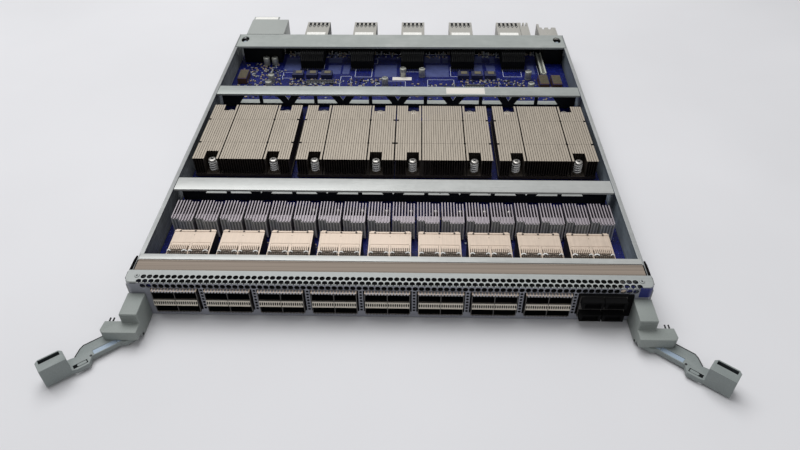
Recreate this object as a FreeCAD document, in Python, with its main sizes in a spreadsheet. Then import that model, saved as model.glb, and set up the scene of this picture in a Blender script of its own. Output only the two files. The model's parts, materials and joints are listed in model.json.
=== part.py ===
import FreeCAD, Part
import Sketcher
import os
from FreeCAD import Rotation, Vector

# Switch line card: a sheet-metal tray that carries a main board, nine four-port module cages,
# three rows of heat sinks, stiffening bars, backplane connectors and two ejector levers.
# Origin: on the base plane, under the middle of the front panel's face. X runs to the right,
# Y from the front panel to the backplane end, Z up. Millimetres. The levers stand open.

DIMENSIONS = {
    # tray
    "deck_width": 432.0,
    "deck_length": 468.0,
    "sheet_gauge": 1.2,
    "sheet_gap": 0.3,
    "rail_height": 34.5,
    "rail_flange": 4.0,
    "rail_foot": 9.0,
    # main board
    "standoff_height": 2.8,
    "standoff_radius": 3.5,
    "board_gauge": 3.0,
    "board_front": 2.0,
    "board_rear_gap": 2.0,
    # front panel
    "panel_height": 38.7,
    "panel_depth": 14.0,
    "panel_bend": 0.7,
    "panel_corner": 6.0,
    "vent_radius": 2.0,
    "vent_margin": 10.26,
    "vent_row": 6.4,
    "screw_head_radius": 2.2,
    "screw_inset": 9.0,
    # gasket and front crossbar
    "gasket_depth": 15.0,
    "gasket_height": 3.0,
    "shelf_height": 33.5,
    "shelf_front": 11.0,
    "front_bar_height": 35.0,
    "front_bar_depth": 8.0,
    # port cages, spread between two margins of the deck
    "cage_margin": 18.0,
    "cage_gap": 6.4,
    "cage_standout": 3.3,
    "cage_length": 76.0,
    "cage_height": 24.2,
    "cage_wall": 0.5,
    "cage_cutout_gap": 1.2,
    "port_height": 8.3,
    "port_depth": 68.0,
    "sink_window_rim": 0.725,
    "plug_standout": 6.0,
    "plug_gap": 0.2,
    # heat sinks that ride on the cages
    "port_sink_front": 33.3,
    "port_sink_length": 22.7,
    "port_sink_height": 3.0,
    "port_sink_gap": 0.2,
    "clip_gauge": 0.8,
    "clip_place": 43.5,
    # heat sinks of the line chips; a share is a part of the deck's length
    "chip_height": 2.4,
    "line_sink_share": 0.1889,
    "line_sink_length": 29.1,
    "line_sink_top": 30.0,
    "line_sink_gap": 2.0,
    "line_sink_margin": 10.0,
    "line_fin_gauge": 0.8,
    "line_sink_base": 2.0,
    # main heat sinks
    "main_sink_margin": 7.5,
    "main_sink_gap": 6.3,
    "main_sink_middle_gap": 1.2,
    "main_sink_share": 0.3917,
    "main_sink_length": 106.2,
    "main_sink_top": 32.0,
    "main_sink_base": 3.0,
    "main_block_slot": 1.0,
    "duct_side": 2.7,
    "duct_rib": 2.17,
    "duct_wall": 1.0,
    "notch_width": 11.0,
    "notch_depth": 14.0,
    "screw_offset": 32.0,
    "spring_screw_top": 27.0,
    "spring_screw_head": 3.8,
    "spring_screw_shank": 1.6,
    "spring_screw_hole": 1.9,
    "rear_screw_inset": 4.7,
    # crossbars with truss webs
    "bar_gap": 0.4,
    "mid_bar_share": 0.2756,
    "rear_mid_bar_share": 0.6635,
    "bar_depth": 18.8,
    "bar_foot": 10.6,
    "bar_lip": 2.2,
    "truss_member": 4.3,
    "truss_chord": 3.6,
    "truss_lean": 6.9,
    # rear cover bar and connectors, from the deck's rear edge
    "rear_bar_depth": 37.2,
    "rear_bar_lip": 2.4,
    "rear_bar_cheek": 12.0,
    "connector_width": 31.5,
    "connector_share": 0.1521,
    "connector_offset": 16.3,
    "connector_height": 22.0,
    "wafer_ahead": 44.0,
    "wafer_slant": 12.0,
    "shroud_gap": 2.0,
    "shroud_overhang": 51.0,
    "key_width": 12.0,
    "slot_depth": 11.0,
    "guide_width": 50.0,
    "guide_inset": 8.5,
    "guide_ahead": 28.0,
    "guide_overhang": 47.0,
    "power_width": 25.0,
    "power_inset": 1.5,
    "power_height": 20.0,
    "power_ahead": 28.0,
    "power_overhang": 40.0,
    # parts of the rear bay
    "can_radius": 4.2,
    "can_height": 11.0,
    "module_width": 14.0,
    "module_depth": 12.0,
    "module_height": 6.0,
    "choke_width": 12.0,
    "choke_depth": 24.0,
    "choke_height": 8.0,
    "ribbon_width": 7.0,
    "ribbon_ahead": 66.0,
    "ribbon_length": 56.0,
    "ribbon_height": 7.0,
    # ejectors
    "ejector_inset": 15.0,
    "ejector_block": 14.7,
    "ejector_reach": 24.2,
    "ejector_top": 26.0,
    "ejector_wing_top": 15.5,
    "ejector_wing_reach": 34.5,
    "ejector_wing": 29.5,
    "ejector_cheek": 2.0,
    "ejector_toe": 4.5,
    "ejector_wing_lap": 2.2,
    "ejector_wing_slant": 3.0,
    "pivot_inset": 5.0,
    "pivot_ahead": 30.5,
    "pivot_radius": 2.0,
    "pin_head_radius": 3.3,
    "running_gap": 0.05,
    "lever_floor": 1.5,
    "lever_gauge": 4.5,
    "lever_gap": 0.3,
    "lever_open_angle": 141.0,
    "lever_length": 67.5,
    "lever_back": 14.0,
    "lever_face": 6.3,
    "lever_bend_start": 30.0,
    "lever_nose": 8.4,
    "lever_nose_half": 1.5,
    "lever_neck": 2.5,
    "lever_jog": 4.0,
    "lever_jog_rise": 1.2,
    "lever_elbow": 2.0,
    "lever_elbow_run": 3.5,
    "lever_sweep": 11.5,
    "label_start": 9.0,
    "label_depth": 0.6,
    "label_side": 4.2,
    "grip_start": 47.0,
    "grip_depth": 12.6,
    "grip_height": 19.0,
    "grip_lip": 1.2,
    "grip_corner": 2.4,
    "grip_slot": 3.6,
    "latch_start": 34.5,
    "latch_length": 8.0,
    "latch_width": 3.0,
    "latch_travel": 2.5,
    "latch_side": 2.2,
    "latch_gap": 0.25,
}
CAGE_COUNT = 9
CONNECTOR_COUNT = 5
VENT_COUNT = 81
TRUSS_COUNT = 6
LINE_FIN_COUNT = 6
PORT_FIN_COUNT = 3
DUCT_COUNT = 7
CENTRE_DUCTS = 3
SHROUD_SLOTS = 5
KEY_SLOTS = 2
STANDOFF_COLUMNS = 3
STANDOFF_ROWS = (0.1, 0.5, 0.95)  # shares of the deck's length
STANDOFF_SPREAD = 0.42            # share of the deck's width between columns
CHIP_SHARE = 0.8                  # a line chip's side as a share of its sink's width
# the rear bay's parts, chosen one by one: share of half the deck's width, and the distance
# ahead of its rear edge
MODULE_PLACES = ((-0.6065, 66.0), (-0.5231, 66.0), (-0.4352, 66.0), (0.3796, 66.0),
                 (0.4606, 66.0), (0.5394, 66.0))
CHOKE_PLACES = ((-0.9259, 74.0), (0.8426, 85.0), (0.9167, 85.0))
CAN_PLACES = ((-0.7546, 80.0), (-0.7569, 98.0), (-0.8194, 34.0), (-0.7685, 34.0),
              (-0.0824, 87.5), (0.0208, 62.5), (0.1343, 63.5), (0.7616, 69.0), (0.7616, 99.0))
POWER_SLOTS = ((0.25, 0.4), (0.6, 0.75))  # shares of the power connector's width
OVERCUT = 1.0  # how far a cut runs past the face it opens
NEAR = 0.01    # how near an edge lies to a face that it belongs to


class Size:
    """A length that carries both its value and the sheet expression that gives it."""

    def __init__(self, value, text):
        self.value = value
        self.text = text

    @staticmethod
    def of(other):
        return other if isinstance(other, Size) else Size(float(other), repr(float(other)))

    def _join(self, sign, other, value):
        return Size(value, f"({self.text} {sign} {Size.of(other).text})")

    def __add__(self, other):
        return self._join("+", other, self.value + Size.of(other).value)

    def __sub__(self, other):
        return self._join("-", other, self.value - Size.of(other).value)

    def __mul__(self, other):
        return self._join("*", other, self.value * Size.of(other).value)

    def __truediv__(self, other):
        return self._join("/", other, self.value / Size.of(other).value)

    def __radd__(self, other):
        return Size.of(other) + self

    def __rsub__(self, other):
        return Size.of(other) - self

    def __rmul__(self, other):
        return Size.of(other) * self

    def __neg__(self):
        return Size.of(0) - self


doc = FreeCAD.newDocument("SwitchLineCard")
sheet = doc.addObject("Spreadsheet::Sheet", "Dims")
for row, (name, number) in enumerate(DIMENSIONS.items(), start=1):
    sheet.set(f"A{row}", name)
    sheet.set(f"B{row}", str(number))
    sheet.setAlias(f"B{row}", name)
doc.recompute()


class Sheet:
    """Every driving dimension as a Size, such as S.deck_width."""


S = Sheet()
for name in DIMENSIONS:
    setattr(S, name, Size(float(sheet.get(name)), f"Dims.{name}"))

NODES = []  # the sub-parts, in the order in which they are made


# ---------------------------------------------------------------- building blocks

def bind(thing, path, size):
    thing.setExpression(path, Size.of(size).text)


def move(thing, x=0, y=0, z=0):
    """Bind an object's place."""
    for axis, size in zip("xyz", (x, y, z)):
        bind(thing, f"Placement.Base.{axis}", size)


def node(thing, label):
    """Make an object one of the line card's sub-parts."""
    thing.Label = label
    NODES.append(thing)
    return thing


def box(name, x, y, z):
    """A box between two limits along each axis."""
    solid = doc.addObject("Part::Box", name)
    for prop, (low, high) in zip(("Length", "Width", "Height"), (x, y, z)):
        bind(solid, prop, Size.of(high) - low)
    move(solid, x[0], y[0], z[0])
    return solid


def prism(name, sides, radius, low, high, x, y):
    """An upright prism with a regular outline."""
    solid = doc.addObject("Part::Prism", name)
    solid.Polygon = sides
    bind(solid, "Circumradius", radius)
    bind(solid, "Height", Size.of(high) - low)
    move(solid, x, y, low)
    return solid


def cylinder(name, radius, low, high, x, y):
    solid = doc.addObject("Part::Cylinder", name)
    bind(solid, "Radius", radius)
    bind(solid, "Height", Size.of(high) - low)
    move(solid, x, y, low)
    return solid


def fuse(name, *solids):
    joined = doc.addObject("Part::MultiFuse", name)
    joined.Shapes = list(solids)
    joined.Refine = True
    return joined


def cut(name, base, tool):
    result = doc.addObject("Part::Cut", name)
    result.Base = base
    result.Tool = tool
    return result


def group(name, solids):
    """Several separate solids that share one node."""
    bundle = doc.addObject("Part::Compound", name)
    bundle.Links = list(solids)
    return bundle


PLANES = {"x": "YZ_Plane", "y": "XZ_Plane", "z": "XY_Plane"}


def sketch(body, axis, level, loops):
    """A sketch across an axis of its body, at a level of that axis.

    Each loop is a closed polygon. Its corners are (y, z), (x, z) or (x, y), as the axis leaves
    them, and each coordinate is bound to the sheet.
    """
    drawing = body.newObject("Sketcher::SketchObject", f"{body.Name}_sketch")
    plane = [f for f in body.Origin.OriginFeatures if f.Role == PLANES[axis]]
    drawing.AttachmentSupport = [(plane[0], "")]
    drawing.MapMode = "FlatFace"
    level = -Size.of(level) if axis == "y" else level  # the XZ plane looks along -Y
    bind(drawing, "AttachmentOffset.Base.z", level)
    for loop in loops:
        corners = [(Size.of(a), Size.of(b)) for a, b in loop]
        points = [Vector(a.value, b.value, 0) for a, b in corners]
        count = len(points)
        first = drawing.GeometryCount
        lines = [Part.LineSegment(points[i], points[(i + 1) % count]) for i in range(count)]
        drawing.addGeometry(lines)
        rules = [Sketcher.Constraint("Coincident", first + i, 2, first + (i + 1) % count, 1)
                 for i in range(count)]
        for i, (a, b) in enumerate(corners):
            rules.append(Sketcher.Constraint("DistanceX", -1, 1, first + i, 1, a.value))
            rules.append(Sketcher.Constraint("DistanceY", -1, 1, first + i, 1, b.value))
        base = drawing.ConstraintCount
        drawing.addConstraint(rules)
        for i, corner in enumerate(corners):
            for j, size in enumerate(corner):
                if "Dims." in size.text:
                    bind(drawing, f"Constraints[{base + count + 2 * i + j}]", size)
    return drawing


def pad(body, axis, low, high, *loops):
    """Add material with the loops' outline between two levels of an axis."""
    feature = body.newObject("PartDesign::Pad", f"{body.Name}_pad")
    feature.Profile = sketch(body, axis, high if axis == "y" else low, loops)
    bind(feature, "Length", Size.of(high) - low)
    return feature


def pocket(body, axis, low, high, *loops):
    """Remove the loops' outline between two levels of an axis."""
    feature = body.newObject("PartDesign::Pocket", f"{body.Name}_pocket")
    feature.Profile = sketch(body, axis, low if axis == "y" else high, loops)
    bind(feature, "Length", Size.of(high) - low)
    return feature


def repeat(body, feature, pitch, count, direction="H_Axis"):
    """Repeat a feature in a row along an axis of its own sketch."""
    pattern = body.newObject("PartDesign::LinearPattern", f"{body.Name}_pattern")
    pattern.Originals = [feature]
    pattern.Direction = (feature.Profile[0], [direction])
    bind(pattern, "Length", pitch * (count - 1))
    pattern.Occurrences = count
    body.Tip = pattern
    return pattern


def round_edges(body, radius, chosen):
    """Round the edges of the body for which chosen(edge) is true."""
    doc.recompute()
    base = body.Tip
    names = [f"Edge{i}" for i, edge in enumerate(base.Shape.Edges, start=1) if chosen(edge)]
    feature = body.newObject("PartDesign::Fillet", f"{body.Name}_fillet")
    feature.Base = (base, names)
    bind(feature, "Radius", radius)
    return feature


def body(name):
    return doc.addObject("PartDesign::Body", name)


def rectangle(a, b):
    """The corners of a rectangle between two limits each way."""
    return [(a[0], b[0]), (a[1], b[0]), (a[1], b[1]), (a[0], b[1])]


def span(centre, width):
    """The limits of a width about a centre."""
    return (Size.of(centre) - Size.of(width) / 2, Size.of(centre) + Size.of(width) / 2)


def row(index, count, pitch):
    """The place of one item of a centred row."""
    return pitch * (index - (count - 1) / 2)


def edge_along(edge, axis):
    """Whether a straight edge runs along an axis."""
    if edge.Curve.TypeId != "Part::GeomLine":
        return False
    direction = edge.tangentAt(edge.FirstParameter)
    return abs(abs(getattr(direction, axis)) - 1) < 1e-6


def bay_place(place):
    """Where a part of the rear bay stands, from its share and its distance."""
    return half_width * place[0], S.deck_length - place[1]


# ---------------------------------------------------------------- levels that pieces share

half_width = S.deck_width / 2
cage_pitch = (S.deck_width - 2 * S.cage_margin) / CAGE_COUNT
cage_width = cage_pitch - S.cage_gap
line_sink_pitch = (S.deck_width - 2 * S.line_sink_margin) / (2 * CAGE_COUNT)
line_sink_width = line_sink_pitch - S.line_sink_gap
main_sink_width = (half_width - S.main_sink_margin - S.main_sink_gap
                   - S.main_sink_middle_gap / 2) / 2
duct_pitch = (main_sink_width + 2 * S.duct_side) / DUCT_COUNT
centre_block = CENTRE_DUCTS * duct_pitch - S.main_block_slot
truss_period = (S.deck_width - 2 * S.cage_margin) / TRUSS_COUNT
inside = half_width - S.sheet_gauge          # inner face of a side rail's web
panel_back = S.sheet_gauge                   # rear face of the front panel
tray_front = panel_back + S.sheet_gap
board_floor = S.sheet_gauge + S.standoff_height
board_top = board_floor + S.board_gauge
bar_top = S.rail_height - S.sheet_gap
gasket_front = S.panel_depth + S.sheet_gap
front_bar_step = gasket_front + S.gasket_depth + S.sheet_gap
front_bar_rear = front_bar_step + S.front_bar_depth
cage_top = board_top + S.cage_height
chip_top = board_top + S.chip_height
line_sink_front = S.deck_length * S.line_sink_share
main_sink_front = S.deck_length * S.main_sink_share
main_sink_rear = main_sink_front + S.main_sink_length
main_base_top = chip_top + S.main_sink_base
screw_rows = (main_sink_front + S.notch_depth / 2, main_sink_rear - S.rear_screw_inset)
rear_bar_front = S.deck_length - S.rear_bar_depth
shroud_front = S.deck_length + S.shroud_gap
shroud_rear = S.deck_length + S.shroud_overhang
gauge = S.sheet_gauge


# ---------------------------------------------------------------- tray

def base_pan():
    pan = box("BasePan", span(0, 2 * (inside - S.sheet_gap)), (tray_front, S.deck_length),
              (0, gauge))
    node(pan, "base_pan")


def side_rail(label, side):
    """A channel with its web at the side, a foot on the pan and a narrow top flange.

    The flange stops where the front crossbar and the rear cover bar reach the webs.
    """
    rail = body(label)
    top = S.rail_height
    profile = [(side * half_width, 0), (side * half_width, top),
               (side * (half_width - S.rail_flange), top),
               (side * (half_width - S.rail_flange), top - gauge),
               (side * inside, top - gauge), (side * inside, 2 * gauge),
               (side * (half_width - S.rail_foot), 2 * gauge),
               (side * (half_width - S.rail_foot), gauge),
               (side * inside, gauge), (side * inside, 0)]
    pad(rail, "y", tray_front, S.deck_length, profile)
    beyond = inside - S.rail_foot
    flange = [(side * inside, top - gauge - OVERCUT), (side * beyond, top - gauge - OVERCUT),
              (side * beyond, top + OVERCUT), (side * inside, top + OVERCUT)]
    pocket(rail, "y", 0, front_bar_rear + S.sheet_gap, flange)
    pocket(rail, "y", rear_bar_front - S.sheet_gap, S.deck_length + OVERCUT, flange)
    node(rail, label)


def main_sink_places():
    inner = (main_sink_width + S.main_sink_middle_gap) / 2
    outer = inner + main_sink_width + S.main_sink_gap
    return -outer, -inner, inner, outer


def main_board():
    """The board with its flat soldered parts: line chips, switch chips, power modules, chokes."""
    board = box("Board", span(0, 2 * (inside - gauge)),
                (S.board_front, S.deck_length - S.board_rear_gap), (board_floor, board_top))
    parts = [board]
    width = CHIP_SHARE * line_sink_width
    middle = line_sink_front + S.line_sink_length / 2
    for i in range(2 * CAGE_COUNT):
        parts.append(box("LineChip", span(row(i, 2 * CAGE_COUNT, line_sink_pitch), width),
                         span(middle, width), (board_top, chip_top)))
    middle = (main_sink_front + main_sink_rear) / 2
    for x in main_sink_places():
        parts.append(box("SwitchChip", span(x, centre_block),
                         span(middle, centre_block), (board_top, chip_top)))
    for x, y in map(bay_place, MODULE_PLACES):
        parts.append(box("PowerModule", span(x, S.module_width), span(y, S.module_depth),
                         (board_top, board_top + S.module_height)))
    for x, y in map(bay_place, CHOKE_PLACES):
        parts.append(box("Choke", span(x, S.choke_width), span(y, S.choke_depth),
                         (board_top, board_top + S.choke_height)))
    node(fuse("MainBoard", *parts), "main_board")


def capacitors():
    """Upright cans of the rear bay."""
    cans = [prism("Can", 8, S.can_radius, board_top, board_top + S.can_height, x, y)
            for x, y in map(bay_place, CAN_PLACES)]
    node(group("Capacitors", cans), "capacitors")


def ribbon_connector():
    """A long header that lies front to back beside the power connector."""
    strip = body("RibbonConnector")
    x = inside - S.power_inset - S.power_width - S.ribbon_width / 2
    left, right = span(x, S.ribbon_width)
    top = board_top + S.ribbon_height
    trough = S.ribbon_width / 4
    front = S.deck_length - S.ribbon_ahead
    pad(strip, "y", front, front + S.ribbon_length,
        [(left, board_top), (right, board_top), (right, top), (right - trough, top),
         (right - trough, top - gauge), (left + trough, top - gauge), (left + trough, top),
         (left, top)])
    node(strip, "ribbon_connector")


def board_standoffs():
    solids = [prism("Standoff", 6, S.standoff_radius, gauge, board_floor,
                    row(i, STANDOFF_COLUMNS, S.deck_width * STANDOFF_SPREAD),
                    S.deck_length * share)
              for share in STANDOFF_ROWS for i in range(STANDOFF_COLUMNS)]
    node(group("BoardStandoffs", solids), "board_standoffs")


# ---------------------------------------------------------------- front panel, gasket and crossbar

def front_panel():
    """One folded sheet: a face with nine cut-outs and a top flange with a row of vents."""
    panel = body("FrontPanel")
    profile = [(0, 0), (panel_back, 0), (panel_back, S.panel_height - gauge),
               (S.panel_depth, S.panel_height - gauge), (S.panel_depth, S.panel_height),
               (0, S.panel_height)]
    pad(panel, "x", -half_width, half_width, profile)
    width = cage_width + 2 * S.cage_cutout_gap
    first = row(0, CAGE_COUNT, cage_pitch)
    opening = rectangle(span(first, width), (board_top - S.sheet_gap, cage_top + S.sheet_gap))
    cutout = pocket(panel, "y", -OVERCUT, panel_back + OVERCUT, opening)
    repeat(panel, cutout, cage_pitch, CAGE_COUNT)
    vent_pitch = (S.deck_width - 2 * S.vent_margin) / VENT_COUNT
    x, y = row(0, VENT_COUNT, vent_pitch), S.vent_row
    diamond = [(x + S.vent_radius, y), (x, y + S.vent_radius), (x - S.vent_radius, y),
               (x, y - S.vent_radius)]
    hole = pocket(panel, "z", S.panel_height - gauge, S.panel_height + OVERCUT, diamond)
    repeat(panel, hole, vent_pitch, VENT_COUNT)
    round_edges(panel, S.panel_corner, lambda e: edge_along(e, "z")
                and e.BoundBox.YMin > S.panel_depth.value - NEAR)
    round_edges(panel, S.panel_bend, lambda e: edge_along(e, "x")
                and e.Length > S.deck_width.value / 2 and e.BoundBox.YMax < NEAR
                and e.BoundBox.ZMin > S.panel_height.value - NEAR)
    node(panel, "front_panel")


def panel_screws():
    solids = []
    for side in (-1, 1):
        x, y = side * (half_width - S.screw_inset), S.panel_depth / 2
        head = prism("ScrewHead", 8, S.screw_head_radius, S.panel_height, S.panel_height + gauge, x, y)
        solids.append(head)
    node(group("PanelScrews", solids), "panel_screws")


def panel_gasket():
    """A soft strip that seals the panel's rear edge to the chassis."""
    strip = body("PanelGasket")
    top = S.shelf_height + S.gasket_height
    crown = S.gasket_height / 3
    profile = [(gasket_front, S.shelf_height), (gasket_front + S.gasket_depth, S.shelf_height),
               (gasket_front + S.gasket_depth, top - crown),
               (gasket_front + S.gasket_depth - crown, top), (gasket_front + crown, top),
               (gasket_front, top - crown)]
    pad(strip, "x", S.bar_gap - inside, inside - S.bar_gap, profile)
    node(strip, "panel_gasket")


def front_crossbar():
    """Carries the gasket on a shelf, with an upstand under the panel and a step behind it."""
    bar = body("FrontCrossbar")
    shelf, top = S.shelf_height, S.front_bar_height
    lip = S.panel_height - gauge - S.sheet_gap / 2
    rear = front_bar_rear
    profile = [(S.shelf_front, shelf - gauge), (front_bar_step + gauge, shelf - gauge),
               (front_bar_step + gauge, top - gauge), (rear, top - gauge), (rear, top),
               (front_bar_step, top), (front_bar_step, shelf), (S.shelf_front + gauge, shelf),
               (S.shelf_front + gauge, lip), (S.shelf_front, lip)]
    pad(bar, "x", S.sheet_gap - inside, inside - S.sheet_gap, profile)
    node(bar, "front_crossbar")


# ---------------------------------------------------------------- port cages

port_width = (cage_width - 3 * S.cage_wall) / 2
port_offset = (port_width + S.cage_wall) / 2
sink_window = port_width - 2 * S.sink_window_rim
low_port = (board_top + S.cage_wall, board_top + S.cage_wall + S.port_height)
high_port = (cage_top - S.cage_wall - S.port_height, cage_top - S.cage_wall)
cage_front = -S.cage_standout
cage_rear = cage_front + S.cage_length


def port_cage(index):
    """A cage with four ports and, over the upper ones, two windows in its top."""
    cage = body(f"PortCage{index + 1}")
    x = row(index, CAGE_COUNT, cage_pitch)
    pad(cage, "y", cage_front, cage_rear, rectangle(span(x, cage_width), (board_top, cage_top)))
    mouths = [rectangle(span(x + side * port_offset, port_width), level)
              for side in (-1, 1) for level in (low_port, high_port)]
    pocket(cage, "y", cage_front - OVERCUT, cage_front + S.port_depth, *mouths)
    windows = [rectangle(span(x + side * port_offset, sink_window),
                         (S.port_sink_front - S.port_sink_gap,
                          S.port_sink_front + S.port_sink_length + S.port_sink_gap))
               for side in (-1, 1)]
    pocket(cage, "z", cage_top - S.cage_wall - S.sheet_gap, cage_top + OVERCUT, *windows)
    node(cage, f"port_cage_{index + 1}")


def port_heatsink(index):
    """The pair of finned plates that a cage's two windows hold."""
    x = row(index, CAGE_COUNT, cage_pitch)
    width = sink_window - 2 * S.port_sink_gap
    fin = S.line_fin_gauge
    pitch = (width - fin) / (PORT_FIN_COUNT - 1)
    length = (S.port_sink_front, S.port_sink_front + S.port_sink_length)
    floor = cage_top - S.cage_wall
    plates = []
    for side in (-1, 1):
        sink = body(f"PortSink{index + 1}")
        left, right = span(x + side * port_offset, width)
        pad(sink, "y", *length, rectangle((left, right), (floor, floor + gauge)))
        blade = pad(sink, "y", *length,
                    rectangle((left, left + fin), (floor, floor + S.port_sink_height)))
        repeat(sink, blade, pitch, PORT_FIN_COUNT)
        plates.append(sink)
    node(group(f"PortHeatsink{index + 1}", plates), f"port_heatsink_{index + 1}")


def heatsink_clips():
    """Sprung wires, one across each cage's two heat sinks, hooked on the cage's sides."""
    clips = []
    wire = S.clip_gauge
    floor = cage_top - S.cage_wall + S.port_sink_height
    for index in range(CAGE_COUNT):
        clip = body("Clip")
        x = row(index, CAGE_COUNT, cage_pitch)
        reach = cage_width / 2 + S.running_gap
        foot = cage_top - 4 * wire
        outline = [(x - reach - wire, foot), (x - reach - wire, floor + wire),
                   (x + reach + wire, floor + wire), (x + reach + wire, foot),
                   (x + reach, foot), (x + reach, floor), (x - reach, floor), (x - reach, foot)]
        pad(clip, "y", S.clip_place - wire / 2, S.clip_place + wire / 2, outline)
        clips.append(clip)
    node(group("HeatsinkClips", clips), "heatsink_clips")


def dust_plugs():
    """Blind plugs in the last cage's four ports, each with a flange in front."""
    plugs = []
    x = row(CAGE_COUNT - 1, CAGE_COUNT, cage_pitch)
    for side in (-1, 1):
        for level in (low_port, high_port):
            plug = body("Plug")
            across = span(x + side * port_offset, port_width - 2 * S.plug_gap)
            upright = (level[0] + S.plug_gap, level[1] - S.plug_gap)
            pad(plug, "y", cage_front - S.plug_standout, cage_front + 3 * S.plug_standout,
                rectangle(across, upright))
            grip = rectangle((across[0] + 2 * gauge, across[1] - 2 * gauge),
                             (upright[0] + gauge, upright[1] - gauge))
            pocket(plug, "y", cage_front - S.plug_standout - OVERCUT,
                   cage_front - S.plug_standout / 2, grip)
            plugs.append(plug)
    node(group("DustPlugs", plugs), "dust_plugs")


# ---------------------------------------------------------------- heat sinks behind the cages

def line_heatsink(index):
    """The pair of extruded finned sinks behind a cage."""
    x = row(index, CAGE_COUNT, 2 * line_sink_pitch)
    pitch = (line_sink_width - S.line_fin_gauge) / (LINE_FIN_COUNT - 1)
    length = (line_sink_front, line_sink_front + S.line_sink_length)
    sinks = []
    for side in (-1, 1):
        sink = body(f"LineSink{index + 1}")
        left, right = span(x + side * line_sink_pitch / 2, line_sink_width)
        pad(sink, "y", *length,
            rectangle((left, right), (chip_top, chip_top + S.line_sink_base)))
        blade = pad(sink, "y", *length,
                    rectangle((left, left + S.line_fin_gauge), (chip_top, S.line_sink_top)))
        repeat(sink, blade, pitch, LINE_FIN_COUNT)
        sinks.append(sink)
    node(group(f"LineHeatsink{index + 1}", sinks), f"line_heatsink_{index + 1}")


def main_heatsink(index):
    """A base plate under three ducted fin blocks, notched at the ends for four screws."""
    sink = body(f"MainSink{index + 1}")
    x = main_sink_places()[index]
    length = (main_sink_front, main_sink_rear)
    pad(sink, "y", *length,
        rectangle(span(x, main_sink_width), (chip_top, S.main_sink_top)))
    duct = pocket(sink, "y", length[0] - OVERCUT, length[1] + OVERCUT,
                  rectangle(span(x + row(0, DUCT_COUNT, duct_pitch), duct_pitch - S.duct_rib),
                            (main_base_top, S.main_sink_top - S.duct_wall)))
    repeat(sink, duct, duct_pitch, DUCT_COUNT)
    beside = (centre_block + S.main_block_slot) / 2
    slots = [rectangle(span(x + side * beside, S.main_block_slot),
                       (length[0] - OVERCUT, length[1] + OVERCUT)) for side in (-1, 1)]
    pocket(sink, "z", main_base_top, S.main_sink_top + OVERCUT, *slots)
    ends = ((length[0] - OVERCUT, length[0] + S.notch_depth),
            (length[1] - S.notch_depth, length[1] + OVERCUT))
    notches = [rectangle(span(x + side * S.screw_offset, S.notch_width), end)
               for side in (-1, 1) for end in ends]
    pocket(sink, "z", main_base_top, S.main_sink_top + OVERCUT, *notches)
    holes = [rectangle(span(x + side * S.screw_offset, 2 * S.spring_screw_hole),
                       span(y, 2 * S.spring_screw_hole))
             for side in (-1, 1) for y in screw_rows]
    pocket(sink, "z", chip_top - OVERCUT, main_base_top + OVERCUT, *holes)
    node(sink, f"main_heatsink_{index + 1}")


def screw_places():
    for x in main_sink_places():
        for side in (-1, 1):
            for y in screw_rows:
                yield x + side * S.screw_offset, y


def spring_screws():
    """Headed screws whose springs press the main heat sinks on their chips."""
    screws = []
    for x, y in screw_places():
        under = S.spring_screw_top - 2 * gauge
        shank = prism("Shank", 4, S.spring_screw_shank, board_top, under + gauge, x, y)
        head = prism("Head", 6, S.spring_screw_head, under, S.spring_screw_top, x, y)
        screws.append(fuse("SpringScrew", shank, head))
    node(group("SpringScrews", screws), "spring_screws")


# ---------------------------------------------------------------- crossbars

def crossbar(name, label, front):
    """A folded Z section: lipped top flange, truss web, foot on the board."""
    bar = body(name)
    rear = front + S.bar_depth
    foot = rear + S.bar_foot
    profile = [(front, bar_top), (rear, bar_top), (rear, board_top + gauge), (foot, board_top + gauge),
               (foot, board_top), (rear - gauge, board_top), (rear - gauge, bar_top - gauge),
               (front + gauge, bar_top - gauge), (front + gauge, bar_top - S.bar_lip),
               (front, bar_top - S.bar_lip)]
    reach = half_width - S.rail_flange - S.bar_gap
    pad(bar, "x", -reach, reach, profile)
    low, high = board_top + gauge + S.truss_chord, bar_top - gauge - S.truss_chord / 2
    half, member = truss_period / 2, S.truss_member
    first = row(0, TRUSS_COUNT, truss_period)
    lean = S.truss_lean
    left = [(first - half + lean, low), (first - member / 2, low), (first - member / 2, high),
            (first - half / 2 + member, high)]
    right = [(first + member / 2, low), (first + half - lean, low), (first + half / 2 - member, high),
             (first + member / 2, high)]
    windows = pocket(bar, "y", rear - gauge - OVERCUT, rear + OVERCUT, left, right)
    repeat(bar, windows, truss_period, TRUSS_COUNT)
    between = [(first + half, low + member), (first + half + half / 2 - lean, high),
               (first + half - half / 2 + lean, high)]
    gaps = pocket(bar, "y", rear - gauge - OVERCUT, rear + OVERCUT, between)
    repeat(bar, gaps, truss_period, TRUSS_COUNT - 1)
    node(bar, label)


def rear_cover_bar():
    """An inverted tray over the connectors, with a cheek down each rail."""
    bar = body("RearCoverBar")
    front, rear = rear_bar_front, S.deck_length
    reach = inside - S.sheet_gap
    pad(bar, "z", bar_top - gauge, bar_top, rectangle((-reach, reach), (front, rear)))
    for y in ((front, front + gauge), (rear - gauge, rear)):
        pad(bar, "z", bar_top - S.rear_bar_lip, bar_top, rectangle((-reach, reach), y))
    for side in (-1, 1):
        pad(bar, "z", bar_top - S.rear_bar_cheek, bar_top,
            rectangle((side * (reach - gauge), side * reach), (front, rear)))
    node(bar, "rear_cover_bar")


# ---------------------------------------------------------------- backplane end

def connector_places():
    for index in range(CONNECTOR_COUNT):
        place = row(index, CONNECTOR_COUNT, S.deck_width * S.connector_share)
        yield place + S.connector_offset


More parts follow.
